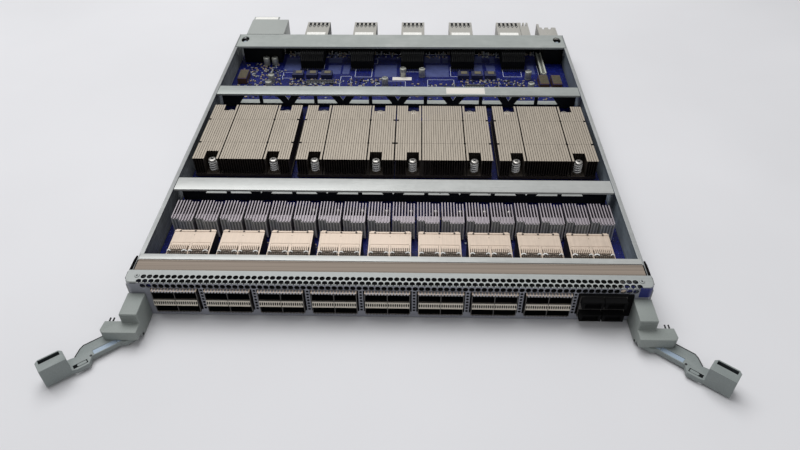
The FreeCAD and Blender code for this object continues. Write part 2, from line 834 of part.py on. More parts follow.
def connector_wafers():
    """The black wafer packs that stand on the board's rear edge."""
    solids = []
    for x in connector_places():
        pack = body("Wafers")
        width = S.connector_width - 2 * gauge
        high = board_top + S.connector_height - gauge
        front, rear = S.deck_length - S.wafer_ahead, shroud_front - S.sheet_gap
        profile = [(front, board_top), (rear, board_top), (rear, high),
                   (front + S.wafer_slant, high), (front, board_top + S.connector_height / 2)]
        left, right = span(x, width)
        pad(pack, "x", left, right, profile)
        solids.append(pack)
    node(group("ConnectorWafers", solids), "connector_wafers")


def slotted_block(name, left, width, count):
    """A mating end with slots like a castle's wall along its rear edge."""
    block = body(name)
    top = board_top + S.connector_height
    pad(block, "x", left, left + width,
        rectangle((shroud_front, shroud_rear), (board_top, top)))
    pitch = width / (count + 0.5)
    slot = pocket(block, "z", board_top - OVERCUT, top + OVERCUT,
                  rectangle((left + pitch / 2, left + pitch),
                            (shroud_rear - S.slot_depth, shroud_rear + OVERCUT)))
    repeat(block, slot, pitch, count)
    return block


def connector_shrouds():
    """The grey mating ends, with a narrow keying block beside the last one."""
    solids = [slotted_block("Shroud", x - S.connector_width / 2, S.connector_width, SHROUD_SLOTS)
              for x in connector_places()]
    key_left = list(connector_places())[-1] + S.connector_width / 2 + S.sheet_gap
    solids.append(slotted_block("KeyBlock", key_left, S.key_width, KEY_SLOTS))
    node(group("ConnectorShrouds", solids), "connector_shrouds")


def guide_module():
    """A block at the rear left corner that steps up behind the cover bar to its level."""
    module = body("GuideModule")
    left = -half_width + S.guide_inset
    under = bar_top - S.rear_bar_lip - S.sheet_gap
    step = S.deck_length + S.sheet_gap
    front, rear = S.deck_length - S.guide_ahead, S.deck_length + S.guide_overhang
    pad(module, "x", left, left + S.guide_width,
        [(front, board_top), (rear, board_top), (rear, bar_top), (step, bar_top), (step, under),
         (front, under)])
    lip = rectangle((left + gauge, left + S.guide_width - 3 * S.rail_foot / 2),
                    (rear - gauge, rear + S.rail_foot))
    pad(module, "z", bar_top - gauge, bar_top, lip)
    node(module, "guide_module")


def power_connector():
    """The power inlet at the rear right corner, with a guide tongue and slots."""
    inlet = body("PowerConnector")
    right = inside - S.power_inset
    left = right - S.power_width
    top = board_top + S.power_height
    front, rear = S.deck_length - S.power_ahead, S.deck_length + S.power_overhang
    pad(inlet, "x", left, right, rectangle((front, rear), (board_top, top)))
    tongue = S.power_width / 8
    pad(inlet, "x", left, left + tongue, rectangle((rear - gauge, shroud_rear), (board_top, top)))
    slots = [rectangle((left + a * S.power_width, left + b * S.power_width),
                       (rear - S.slot_depth / 2, rear + OVERCUT))
             for a, b in POWER_SLOTS]
    pocket(inlet, "z", board_top - OVERCUT, top + OVERCUT, *slots)
    node(inlet, "power_connector")


# ---------------------------------------------------------------- ejectors

pivot_x = half_width - S.pivot_inset
wing_floor = S.lever_floor + S.lever_gauge + S.lever_gap


def ejector_housing(label, side):
    """A stepped casting on the panel's end: a block, a wing over the lever's root and a cheek."""
    casting = body(f"{label}_casting")
    inner = side * (half_width - S.ejector_inset)
    block = inner + side * S.ejector_block
    outer = inner + side * S.ejector_wing
    reach, wing = -S.ejector_reach, -S.ejector_wing_reach
    low_x, high_x = (inner, block) if side > 0 else (block, inner)
    pad(casting, "x", low_x, high_x,
        [(-S.sheet_gap, wing_floor), (-S.sheet_gap, S.ejector_top), (reach, S.ejector_top),
         (reach, S.ejector_wing_top), (wing, S.ejector_wing_top), (wing, wing_floor)])
    slant = side * S.ejector_cheek
    lap = reach + S.ejector_wing_lap
    pad(casting, "z", wing_floor, S.ejector_wing_top,
        [(inner, lap), (outer, lap), (outer + slant / 2, wing + S.ejector_wing_slant),
         (outer - slant, wing), (inner, wing)])
    cheek_x = (inner, inner + slant) if side > 0 else (inner + slant, inner)
    toe = -(S.pivot_ahead - S.pivot_inset / 2)  # clear of the closed lever
    pad(casting, "x", *cheek_x,
        [(-S.sheet_gap, wing_floor + gauge), (-S.sheet_gap, 0), (toe + S.ejector_toe, 0),
         (toe, S.ejector_toe), (toe, wing_floor + gauge)])
    doc.recompute()
    bore = cylinder(f"{label}_bore", S.pivot_radius + S.running_gap, wing_floor - OVERCUT,
                    S.ejector_wing_top - 2 * gauge, side * pivot_x, -S.pivot_ahead)
    node(cut(f"{label}_drilled", casting, bore), label)


def lever_frame(thing, side):
    """Place an object drawn along +X from its pivot onto the lever's open position."""
    angle = -S.lever_open_angle if side < 0 else S.lever_open_angle - 180
    bind(thing, "Placement.Base.x", side * pivot_x)
    bind(thing, "Placement.Base.y", -S.pivot_ahead)
    thing.Placement.Rotation = Rotation(Vector(0, 0, 1), angle.value)
    bind(thing, "Placement.Rotation.Angle", angle)


def ejector_lever(label, side):
    """A flat arm with a cam nose at its root, a jog, and an upright grip at its end.

    Drawn with the pivot at the origin and the arm along +X. face is the side towards the panel
    when the lever is closed.
    """
    lever = body(f"{label}_moulding")
    hand = -side
    low, high = S.lever_floor, S.lever_floor + S.lever_gauge
    face, back, jog = S.lever_face, S.lever_back, S.lever_bend_start
    shelf = S.lever_face - S.grip_depth
    eye, half, neck = 2 * S.pivot_radius, S.lever_nose_half, 2 * S.pivot_radius + S.lever_neck
    crest, elbow = face + S.lever_jog_rise, S.lever_elbow
    outline = [(-S.lever_nose, -half), (-S.lever_nose, half), (-eye, eye), (eye, eye),
               (neck, half), (jog, half), (jog + S.lever_jog, crest),
               (S.grip_start - S.lever_jog, crest), (S.grip_start, face),
               (S.lever_length, face), (S.lever_length, shelf + S.grip_corner),
               (S.lever_length - S.grip_corner, shelf), (S.grip_start - S.lever_neck, shelf),
               (jog + S.lever_sweep, shelf + S.label_depth),
               (jog + elbow + S.lever_elbow_run, elbow - back), (jog + elbow, -back), (neck, -back),
               (elbow / 2 - eye, -eye - elbow)]
    pad(lever, "z", low, high, [(u, hand * Size.of(v)) for u, v in outline])

    def across(a, b):
        """Two limits across the lever, the lower one first on either hand."""
        return (hand * a, hand * b) if hand > 0 else (hand * b, hand * a)

    corner = S.grip_corner
    grip = [(S.grip_start, face), (S.lever_length, face), (S.lever_length, shelf + corner),
            (S.lever_length - corner, shelf), (S.grip_start + corner, shelf),
            (S.grip_start, shelf + corner)]
    pad(lever, "z", low, low + S.grip_height, [(u, hand * v) for u, v in grip])
    slot = across(shelf + S.grip_lip, shelf + S.grip_lip + S.grip_slot)
    pocket(lever, "z", high, low + S.grip_height + OVERCUT,
           rectangle((S.grip_start + corner, S.lever_length - corner), slot))
    pocket(lever, "z", high - S.label_depth, high + OVERCUT,
           rectangle((S.label_start, jog - elbow), across(-S.label_side, S.label_depth)))
    latch = across(S.latch_side - S.latch_gap, S.latch_side + S.latch_width + S.latch_gap)
    pocket(lever, "z", low - OVERCUT, high + OVERCUT,
           rectangle((S.latch_start - S.latch_gap,
                      S.latch_start + S.latch_length + S.latch_travel + S.latch_gap), latch))
    hole = cylinder(f"{label}_bore", S.pivot_radius + S.running_gap, low - OVERCUT, high + OVERCUT, 0, 0)
    drilled = cut(f"{label}_drilled", lever, hole)
    lever_frame(drilled, side)
    node(drilled, label)


def lever_latch(label, side):
    """The slider that runs in the lever's slot."""
    latch = body(label)
    hand = -side
    low, high = S.lever_floor + S.latch_gap, S.lever_floor + S.lever_gauge
    a, b = hand * S.latch_side, hand * (S.latch_side + S.latch_width)
    pad(latch, "z", low, high,
        rectangle((S.latch_start, S.latch_start + S.latch_length), (a, b) if hand > 0 else (b, a)))
    lever_frame(latch, side)
    node(latch, label)


def pivot_pins():
    """Headed pins that the levers turn on, fixed in the housings."""
    pins = []
    for side in (-1, 1):
        x, y = side * pivot_x, -S.pivot_ahead
        head_top = S.lever_floor - S.lever_gap / 2
        head = prism("PinHead", 6, S.pin_head_radius, head_top - gauge, head_top, x, y)
        shank = cylinder("PinShank", S.pivot_radius, head_top - gauge,
                         S.ejector_wing_top - 2 * gauge - S.sheet_gap, x, y)
        pins.append(fuse("PivotPin", head, shank))
    node(group("LeverPivotPins", pins), "lever_pivot_pins")


# ---------------------------------------------------------------- the line card

def build():
    base_pan()
    for label, side in (("side_rail_left", -1), ("side_rail_right", 1)):
        side_rail(label, side)
    main_board()
    board_standoffs()
    capacitors()
    ribbon_connector()
    front_panel()
    panel_screws()
    panel_gasket()
    front_crossbar()
    for index in range(CAGE_COUNT):
        port_cage(index)
        port_heatsink(index)
        line_heatsink(index)
    heatsink_clips()
    dust_plugs()
    for index in range(len(main_sink_places())):
        main_heatsink(index)
    spring_screws()
    crossbar("MidCrossbar", "mid_crossbar", S.deck_length * S.mid_bar_share)
    crossbar("RearMidCrossbar", "rear_mid_crossbar", S.deck_length * S.rear_mid_bar_share)
    rear_cover_bar()
    connector_wafers()
    connector_shrouds()
    guide_module()
    power_connector()
    for side, hand in ((-1, "left"), (1, "right")):
        ejector_housing(f"ejector_housing_{hand}", side)
        ejector_lever(f"ejector_lever_{hand}", side)
        lever_latch(f"lever_latch_{hand}", side)
    pivot_pins()
    doc.recompute()


def check():
    """Stop if any object failed to compute."""
    for thing in doc.Objects:
        if {"Invalid", "Error"} & set(thing.State):
            raise RuntimeError(f"{thing.Label} did not compute: {thing.State}")
    for thing in NODES:
        if thing.Shape.isNull() or not thing.Shape.isValid():
            raise RuntimeError(f"{thing.Label} has no valid shape")


def export():
    os.makedirs("parts", exist_ok=True)
    for thing in NODES:
        thing.Shape.exportStep(f"parts/{thing.Label}.step")


build()
check()
export()
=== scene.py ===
"""Looks of a switch line card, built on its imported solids.

The card's sizes are millimetres here and metres in every mesh. X runs to the right, Y from the
front panel to the backplane end, Z up.
"""

from __future__ import annotations

import json
import logging
import math
from collections.abc import Callable
from dataclasses import dataclass, field
from enum import Enum
from functools import reduce
from operator import add

import bmesh
import bpy
import numpy as np
from mathutils import Matrix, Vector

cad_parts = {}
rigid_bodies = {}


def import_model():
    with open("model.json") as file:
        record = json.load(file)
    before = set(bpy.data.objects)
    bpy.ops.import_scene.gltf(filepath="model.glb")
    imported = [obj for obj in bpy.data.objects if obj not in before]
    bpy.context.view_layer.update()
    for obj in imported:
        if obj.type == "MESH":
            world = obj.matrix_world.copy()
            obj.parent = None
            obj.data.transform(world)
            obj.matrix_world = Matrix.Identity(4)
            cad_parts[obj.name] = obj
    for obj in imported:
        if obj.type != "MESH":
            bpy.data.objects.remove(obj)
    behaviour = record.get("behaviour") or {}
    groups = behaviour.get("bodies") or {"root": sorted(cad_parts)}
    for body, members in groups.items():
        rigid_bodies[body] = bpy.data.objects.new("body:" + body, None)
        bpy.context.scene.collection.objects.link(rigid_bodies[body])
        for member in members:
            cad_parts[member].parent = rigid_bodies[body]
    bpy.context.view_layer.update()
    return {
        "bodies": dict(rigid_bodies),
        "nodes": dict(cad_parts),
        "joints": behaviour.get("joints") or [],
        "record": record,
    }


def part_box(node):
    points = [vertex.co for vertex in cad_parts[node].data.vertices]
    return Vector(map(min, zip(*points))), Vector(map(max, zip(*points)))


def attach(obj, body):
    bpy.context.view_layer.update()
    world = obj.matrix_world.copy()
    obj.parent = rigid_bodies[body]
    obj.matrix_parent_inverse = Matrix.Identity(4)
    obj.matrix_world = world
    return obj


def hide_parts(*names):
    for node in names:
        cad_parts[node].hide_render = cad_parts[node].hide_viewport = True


log = logging.getLogger("line_card")
MM = 0.001
Array = np.ndarray
Node = bpy.types.Node
Span = tuple[float, float]
Outline = tuple[Span, ...]
Areas = tuple[tuple[float, float, float, float], ...]
# noise seldom leaves this range, so it is stretched to the whole of a pattern's share
GRAIN_SPREAD = {"From Min": 0.3, "From Max": 0.7}


# ---------------------------------------------------------------- colour and nodes

def linear(colour: str) -> tuple[float, ...]:
    """Turns an sRGB hex colour into linear values.

    Args:
        colour: Six hex digits after a hash.

    Returns:
        Linear red, green and blue, and 1 for alpha.
    """
    parts = [int(colour[i:i + 2], 16) / 255 for i in (1, 3, 5)]
    lit = [c / 12.92 if c <= 0.04045 else ((c + 0.055) / 1.055) ** 2.4 for c in parts]
    return (*lit, 1.0)


@dataclass
class Brush:
    """The nodes of one material while it is being made."""

    tree: bpy.types.NodeTree
    shader: Node = field(init=False)
    place: Node = field(init=False)

    def __post_init__(self) -> None:
        """Finds the shader and adds the coordinates that every pattern uses."""
        self.shader = self.tree.nodes["Principled BSDF"]
        self.place = self.add("TexCoord")

    def add(self, kind: str, settings: dict | None = None, links: dict | None = None) -> Node:
        """Adds one node, sets it up and joins its inputs.

        Args:
            kind: The node's type, without the ShaderNode in front.
            settings: Values by input socket (a name or a number) or by property name.
            links: (node, output) pairs by input socket.

        Returns:
            The new node.
        """
        made = self.tree.nodes.new("ShaderNode" + kind)
        late = {}
        for key, value in (settings or {}).items():
            if isinstance(key, str) and hasattr(made, key) and key not in made.inputs:
                setattr(made, key, value)
            else:
                late[key] = value
        for key, value in late.items():
            made.inputs[key].default_value = value
        for key, (source, output) in (links or {}).items():
            self.tree.links.new(source.outputs[output], made.inputs[key])
        return made

    def give(self, source: Node, output: int, socket: str) -> None:
        """Joins a node's output to one of the shader's sockets."""
        self.tree.links.new(source.outputs[output], self.shader.inputs[socket])

    def over(self, share: Node, under: Node, colour: str) -> Node:
        """Lays a plain colour over a mixed one by a share and gives it to the shader."""
        mixed = self.add("Mix", {"data_type": "RGBA", 7: linear(colour)},
                         {0: (share, 0), 6: (under, 2)})
        self.give(mixed, 2, "Base Color")
        return mixed


# ---------------------------------------------------------------- finishes

@dataclass(frozen=True)
class Finish:
    """A plain surface with a soft mottle, from which the other finishes start.

    The mottle lightens and darkens the colour, varies the gloss and raises a faint grain. The
    slot is the record's material that the finish stands for.
    """

    name: str
    colour: str
    roughness: float = 0.5
    metallic: float = 0.0
    grain_mm: float = 2.0
    mottle: float = 0.06
    bump: float = 0.05
    stretch: tuple[float, float, float] = (1.0, 1.0, 1.0)
    shine: float = 0.5
    slot: str = "galvanised_sheet"

    def material(self) -> bpy.types.Material:
        """Returns the finish's material, made once."""
        known = bpy.data.materials.get(self.name)
        if known:
            return known
        made = bpy.data.materials.new(self.name)
        made.use_nodes = True
        brush = Brush(made.node_tree)
        for socket, value in (("Roughness", self.roughness), ("Metallic", self.metallic),
                              ("Specular IOR Level", self.shine)):
            brush.shader.inputs[socket].default_value = value
        self.dress(brush)
        return made

    def dress(self, brush: Brush) -> None:
        """Adds the mottle: noise at the grain's size drives colour, gloss and relief."""
        grain = self.grain(brush, self.grain_mm, self.stretch)
        self.tint(brush, grain)
        self.gloss(brush, grain)
        self.relief(brush, grain, self.bump)

    def grain(self, brush: Brush, size_mm: float,
              stretch: tuple[float, float, float] = (1.0, 1.0, 1.0)) -> Node:
        """Returns noise whose grains are size_mm across, drawn out by stretch."""
        scale = brush.add("Mapping", {"Scale": tuple(1 / s for s in stretch)},
                          {"Vector": (brush.place, "Object")})
        return brush.add("TexNoise", {"Scale": 1000 / size_mm, "Detail": 3.0},
                         {"Vector": (scale, "Vector")})

    def tint(self, brush: Brush, grain: Node) -> Node:
        """Lightens and darkens the colour by the mottle's share and gives it to the shader."""
        base = linear(self.colour)[:3]
        low = tuple(c * (1 - self.mottle) ** 2 for c in base) + (1.0,)
        high = tuple(min(1.0, c * (1 + self.mottle) ** 2) for c in base) + (1.0,)
        share = brush.add("MapRange", GRAIN_SPREAD, {"Value": (grain, 0)})
        mixed = brush.add("Mix", {"data_type": "RGBA", 6: low, 7: high}, {0: (share, 0)})
        brush.give(mixed, 2, "Base Color")
        return mixed

    def gloss(self, brush: Brush, grain: Node) -> None:
        """Varies the roughness a little about its value."""
        vary = 0.07
        reach = {"To Min": max(0.05, self.roughness - vary),
                 "To Max": min(1.0, self.roughness + vary)}
        brush.give(brush.add("MapRange", GRAIN_SPREAD | reach, {"Value": (grain, 0)}), 0,
                   "Roughness")

    def relief(self, brush: Brush, height: Node, strength: float) -> None:
        """Raises the surface by a height that runs from 0 to 1, in tenths of a millimetre."""
        brush.give(brush.add("Bump", {"Strength": strength, "Distance": 0.1 * MM},
                             {"Height": (height, 0)}), 0, "Normal")


@dataclass(frozen=True)
class RolledSheet(Finish):
    """Zinc-coated sheet steel: spangled, with fine lines along the way it was rolled."""

    metallic: float = 0.3
    roughness: float = 0.42
    along: str = "X"
    wear: str = "#CFD0CE"
    line_mm: float = 0.7
    patch_mm: float = 38.0
    spangles_per_m: float = 260.0

    def dress(self, brush: Brush) -> None:
        """Spangle in cells of a few millimetres under rolling lines, with rubbed patches."""
        long = (60.0, 1.0, 1.0) if self.along == "X" else (1.0, 60.0, 1.0)
        lines = self.grain(brush, self.line_mm, long)
        spangle = brush.add("TexVoronoi", {"Scale": self.spangles_per_m},
                            {"Vector": (brush.place, "Object")})
        patches = self.grain(brush, self.patch_mm)
        both = brush.add("Math", {"operation": "MULTIPLY_ADD", 1: 0.2},
                         {0: (spangle, "Color"), 2: (lines, 0)})
        ready = brush.add("Math", {"operation": "SUBTRACT", 1: 0.1}, {0: (both, 0)})
        colour = self.tint(brush, ready)
        rubbed = brush.add("MapRange", {"From Min": 0.5, "From Max": 0.75, "To Max": 0.25},
                           {"Value": (patches, 0)})
        brush.over(rubbed, colour, self.wear)
        self.gloss(brush, ready)
        self.relief(brush, lines, self.bump)


@dataclass(frozen=True)
class BoardLacquer(Finish):
    """Glass-epoxy board under deep blue solder lacquer, with tracks and plated holes."""

    roughness: float = 0.45
    slot: str = "board_blue"
    track: str = "#14268A"
    pad: str = "#7883A6"
    tracks_per_m: float = 210.0
    holes_per_m: float = 380.0

    def dress(self, brush: Brush) -> None:
        """Tracks are the edges of a stretched cell pattern, and holes are dots at cell centres."""
        colour = self.tint(brush, self.grain(brush, 14.0))
        here = {"Vector": (brush.place, "Object")}
        runs = brush.add("TexVoronoi", {"feature": "DISTANCE_TO_EDGE", "Randomness": 0.8,
                                        "Scale": self.tracks_per_m}, here)
        edge = brush.add("MapRange", {"From Min": 0.02, "From Max": 0.06, "To Min": 0.55,
                                      "To Max": 0.0}, {"Value": (runs, 0)})
        tracks = brush.over(edge, colour, self.track)
        holes = brush.add("TexVoronoi", {"Scale": self.holes_per_m, "Randomness": 0.9}, here)
        dot = brush.add("MapRange", {"From Min": 0.1, "From Max": 0.16, "To Min": 0.8,
                                     "To Max": 0.0}, {"Value": (holes, 0)})
        brush.over(dot, tracks, self.pad)
        self.relief(brush, edge, 0.2)


@dataclass(frozen=True)
class StripedRubber(Finish):
    """Extruded sealing strip: matt, with pale lines drawn along it by the die."""

    roughness: float = 0.8
    slot: str = "gasket_fabric"
    stripe: str = "#A2968A"
    stripe_mm: float = 1.4

    def dress(self, brush: Brush) -> None:
        """Bands across Y, a few millimetres apart and uneven, tint and groove the strip."""
        bands = self.grain(brush, self.stripe_mm, (400.0, 1.0, 1.0))
        colour = self.tint(brush, bands)
        share = brush.add("MapRange", {"From Min": 0.45, "From Max": 0.75, "To Max": 0.3},
                          {"Value": (bands, 0)})
        brush.over(share, colour, self.stripe)
        self.relief(brush, bands, 0.4)


class Finishes(Enum):
    """Every finish on the card."""

    # electro-galvanised steel: satin and neutral, with faint rolling lines
    BAR = RolledSheet("galvanised_steel_bar", "#B6B8B6", mottle=0.03, bump=0.08)
    REAR_BAR = RolledSheet("galvanised_steel_rear_bar", "#A3A8A5", mottle=0.03, bump=0.06)
    PANEL = RolledSheet("galvanised_steel_panel", "#9B9F9E", mottle=0.04, bump=0.06, metallic=0.2,
                        roughness=0.5, slot="panel_paint", wear="#AEB0AE")
    RAIL = RolledSheet("galvanised_steel_rail", "#9A9C9C", mottle=0.05, along="Y")
    # the same sheet painted darker as shade where it stands inside the tray, and dull
    INSIDE = RolledSheet("galvanised_steel_inside_painted_shade", "#808A92", mottle=0.15, along="Y",
                         roughness=0.45, wear="#A3ABB0")
    SHADE = RolledSheet("galvanised_steel_shade", "#858A8D", mottle=0.25, along="Y", roughness=0.5,
                        wear="#767D81")
    # the panel's upright face, painted darker than the flange as shade
    FACE = RolledSheet("galvanised_steel_face_painted_shade", "#8B8D96", mottle=0.04, bump=0.06, metallic=0.2,
                       roughness=0.5, slot="panel_paint", wear="#9A9CA4")
    # hole walls and cut edges, painted near black as shade
    EDGE = Finish("galvanised_edge_painted_shade", "#2E3032", metallic=0.2, mottle=0.2, slot="panel_paint")
    # the crossbars' upright webs, painted near black as shade
    WEB_SHADE = RolledSheet("galvanised_steel_web_painted_shade", "#15181D", mottle=0.1, metallic=0.1, roughness=0.7,
                      wear="#20242A")
    # nickel-plated sheet: warm and bright on top and darker on its cut edges; its walls are painted
    # dark as shade
    CAGE = RolledSheet("nickel_plated_cage", "#C9B8A8", mottle=0.03, along="Y", slot="tin_plate",
                       wear="#D2C2B3")
    CAGE_EDGE = Finish("nickel_plated_cut_edge", "#5C5A58", metallic=0.4, mottle=0.15,
                       slot="tin_plate")
    CAGE_SHADE = Finish("nickel_plated_painted_shade", "#2B2623", metallic=0.3, mottle=0.15,
                       slot="tin_plate")
    PINS = Finish("skived_pin", "#84776B", metallic=0.3, grain_mm=1.2, mottle=0.18,
                  slot="tin_plate")
    # extruded aluminium, clear anodised: cool and satin; the roots and sides of the fins are
    # painted darker as shade
    FIN = RolledSheet("anodised_aluminium_fin_top", "#A39BA1", roughness=0.4, along="Y",
                      slot="anodised_fin", wear="#BDB8BC")
    FIN_END = Finish("anodised_aluminium_fin_end", "#C4C7C6", roughness=0.4, metallic=0.3,
                     grain_mm=0.8, mottle=0.1, slot="anodised_fin")
    FIN_ROOT_SHADE = Finish("anodised_aluminium_fin_root_painted_shade", "#7F8484", roughness=0.45, metallic=0.2,
                      mottle=0.1, slot="anodised_fin")
    FIN_SHADE = Finish("anodised_aluminium_fin_painted_shade", "#5E5960", roughness=0.45, metallic=0.3,
                      mottle=0.15, slot="anodised_fin")
    # stamped and folded copper fins, champagne plated: drawn lines run along them; their sides and
    # base are painted near black as shade
    STACK = Finish("plated_folded_fin", "#ACA294", roughness=0.42, metallic=0.3, grain_mm=0.8,
                   mottle=0.05, stretch=(1.0, 40.0, 1.0), slot="champagne_fin")
    STACK_SHADE = Finish("plated_fin_painted_shade", "#2E2721", roughness=0.55, metallic=0.3, mottle=0.12,
                        slot="champagne_fin")
    STACK_PLATE_SHADE = Finish("plated_sink_base_painted_shade", "#37302A", metallic=0.3, mottle=0.15,
                         slot="champagne_fin")
    # powder-coated zinc casting: matt grey-green with a fine orange peel
    CASTING = Finish("powder_coated_casting", "#858B88", roughness=0.55, grain_mm=0.9, mottle=0.04,
                     bump=0.25, slot="ejector_grey")
    LEVER = Finish("glass_filled_nylon_lever", "#7E8584", grain_mm=0.7, mottle=0.05, bump=0.25,
                   slot="ejector_grey")
    # moulded liquid-crystal polymer of the connectors, with a darker copy painted as shade on the
    # sides facing right
    SHROUD = Finish("moulded_polymer_grey", "#A19F99", roughness=0.55, grain_mm=1.2, mottle=0.05,
                    bump=0.15, slot="grey_plastic")
    SHROUD_SHADE = Finish("moulded_polymer_shaded_side", "#3E4040", roughness=0.6, mottle=0.1,
                         slot="grey_plastic")
    # black compounds: they swallow light, smooth where moulded and rough where foamed; the same two
    # finishes paint shade into ports, holes and gaps
    BLACK = Finish("black_polymer_and_painted_shade", "#040506", roughness=0.6, grain_mm=0.8, mottle=0.2,
                   bump=0.2, shine=0.2, slot="black_plastic")
    FOAM_AND_SHADE = Finish("black_foam_and_painted_shade", "#060607", roughness=0.95, grain_mm=0.6, mottle=0.3,
                  bump=0.5, shine=0.15, slot="black_plastic")
    # pale mouldings and film: nylon is waxy, and the film glossy
    IVORY = Finish("moulded_nylon_ivory", "#B2B5AA", grain_mm=1.5, mottle=0.05,
                   slot="ivory_plastic")
    GUIDE = Finish("moulded_polymer_guide", "#9CA09D", grain_mm=1.0, mottle=0.04, bump=0.15,
                   slot="grey_plastic")
    GLOSS = Finish("glossy_white_film", "#ECEBE6", roughness=0.25, mottle=0.02,
                   slot="ivory_plastic")
    # extruded rubber: matt with lines along it
    GASKET = StripedRubber("extruded_gasket", "#83776C", mottle=0.06)
    # turned and drawn steel, nickel plated
    STEEL = Finish("turned_steel", "#B5B2AD", roughness=0.3, metallic=0.6, grain_mm=0.8,
                   mottle=0.1, slot="spring_steel")
    WIRE = Finish("spring_wire_dull", "#7B7167", roughness=0.4, metallic=0.5, grain_mm=0.8,
                  mottle=0.1, slot="spring_steel")
    # polished wire, painted near white as a highlight for its glint
    HOOK = Finish("spring_wire_painted_highlight", "#F2F0EA", roughness=0.35, grain_mm=0.8, mottle=0.1,
                  slot="spring_steel")
    # moulded cover over the light pipes: warm and satin
    STRIP = Finish("moulded_light_pipe_cover", "#C4BDB0", grain_mm=0.8, slot="tin_plate")
    # tinned and blackened spring metal: small dull glints
    FINGER = Finish("beryllium_copper_tinned", "#77767A", roughness=0.35, metallic=0.4,
                    grain_mm=0.8, mottle=0.2, slot="spring_steel")
    # black oxide steel; the same finish paints shade into recesses and along an edge
    DARK = Finish("black_oxide_steel_and_painted_shade", "#17181A", metallic=0.3, mottle=0.2, slot="spring_steel")
    # lacquered glass-epoxy with copper and ink under and on it: deep, faintly glossy
    BOARD = BoardLacquer("blue_board_lacquer", "#020B4C", mottle=0.15, shine=0.25)
    PLANE = Finish("copper_plane_under_lacquer", "#3F4773", grain_mm=5.0, mottle=0.08, shine=0.3,
                   slot="board_blue")
    SILK = Finish("screen_printed_ink", "#B9C0D4", roughness=0.6, grain_mm=1.0, mottle=0.1,
                  slot="board_blue")
    # soldered parts: tan ceramic, bright tin, brushed cans, black epoxy, brown cores
    CERAMIC = Finish("sintered_ceramic_tan", "#8F8270", grain_mm=0.8, mottle=0.15,
                     slot="brass_post")
    SOLDER = Finish("tin_solder", "#A6ABAF", roughness=0.35, metallic=0.5, grain_mm=0.6,
                    mottle=0.15, slot="can_metal")
    CAN = Finish("aluminium_can", "#A9ABA4", roughness=0.35, metallic=0.5, grain_mm=1.0,
                 mottle=0.08, slot="can_metal")
    # nylon in the shade of a slot
    RECESS = Finish("shaded_nylon_recess", "#33383B", roughness=0.6, mottle=0.1,
                    slot="ejector_grey")
    CHIP = Finish("epoxy_chip_package", "#15161A", grain_mm=0.7, mottle=0.2, slot="black_plastic")
    POTTING = Finish("potted_module_shell", "#10163A", roughness=0.6, mottle=0.3,
                     slot="black_plastic")
    CORE = Finish("ferrite_core", "#5C5644", roughness=0.6, grain_mm=1.0, mottle=0.15, bump=0.3,
                  slot="brass_post")
    CHOKE = Finish("wound_choke", "#46301F", roughness=0.6, grain_mm=1.0, mottle=0.25, bump=0.3,
                   slot="brass_post")
    # printed film and paper, blank: flat colour with a slight sheen
    LABEL = Finish("paper_label", "#CFCBC4", roughness=0.6, grain_mm=0.6, mottle=0.03,
                   slot="ivory_plastic")
    BLUE_LABEL = Finish("printed_label_blue", "#131C66", roughness=0.4, grain_mm=0.8, mottle=0.08,
                        slot="panel_paint")
    PALE_LABEL = Finish("lever_label", "#93A3B4", roughness=0.4, grain_mm=0.8, slot="ejector_grey")


# ---------------------------------------------------------------- shapes as arrays

@dataclass
class Shape:
    """Points in millimetres with faces of four corners."""

    points: Array
    quads: Array

    def __add__(self, other: Shape) -> Shape:
        """Returns both shapes as one."""
        return Shape(np.vstack((self.points, other.points)),
                     np.vstack((self.quads, other.quads + len(self.points))))

    def at(self, places: Array) -> Shape:
        """Returns a copy of the shape at each of the places, one row of X, Y and Z each."""
        places = np.atleast_2d(np.asarray(places, float))
        n, m = len(places), len(self.points)
        points = (self.points[None] + places[:, None]).reshape(-1, 3)
        step = (np.arange(n) * m)[:, None, None]
        return Shape(points, (self.quads[None] + step).reshape(-1, 4))

    def turned(self, degrees: float) -> Shape:
        """Returns the shape turned about Z by an angle, X towards Y."""
        c, s = math.cos(math.radians(degrees)), math.sin(math.radians(degrees))
        turn = np.array([[c, s, 0.0], [-s, c, 0.0], [0.0, 0.0, 1.0]])
        return Shape(self.points @ turn, self.quads)


def every(x: Array | float, y: Array | float, z: Array | float) -> Array:
    """Every combination of the given X, Y and Z, one row each."""
    return np.stack(np.meshgrid(x, y, z, indexing="ij"), -1).reshape(-1, 3).astype(float)


def rows(x: Array | float, y: Array | float, z: Array | float) -> Array:
    """Rows of X, Y and Z side by side; a single value serves every row."""
    return np.stack(np.broadcast_arrays(x, y, z), -1).astype(float)


def middles(low: float, high: float, count: int) -> Array:
    """The middles of equal parts of a length."""
    edges = np.linspace(low, high, count + 1)
    return (edges[:-1] + edges[1:]) / 2


def boxes(low: Array, high: Array) -> Shape:
    """Boxes from their lowest and highest corners: eight corners from a table of choices."""
    low, high = (np.atleast_2d(np.asarray(a, float)) for a in (low, high))
    low, high = np.broadcast_arrays(low, high)
    choice = np.array([[0, 0, 0], [1, 0, 0], [1, 1, 0], [0, 1, 0],
                       [0, 0, 1], [1, 0, 1], [1, 1, 1], [0, 1, 1]])
    points = np.where(choice[None] > 0, high[:, None], low[:, None]).reshape(-1, 3)
    sides = np.array([[0, 3, 2, 1], [4, 5, 6, 7], [0, 1, 5, 4], [1, 2, 6, 5], [2, 3, 7, 6],
                      [3, 0, 4, 7]])
    quads = (sides[None] + (np.arange(len(low)) * 8)[:, None, None]).reshape(-1, 4)
    return Shape(points, quads)


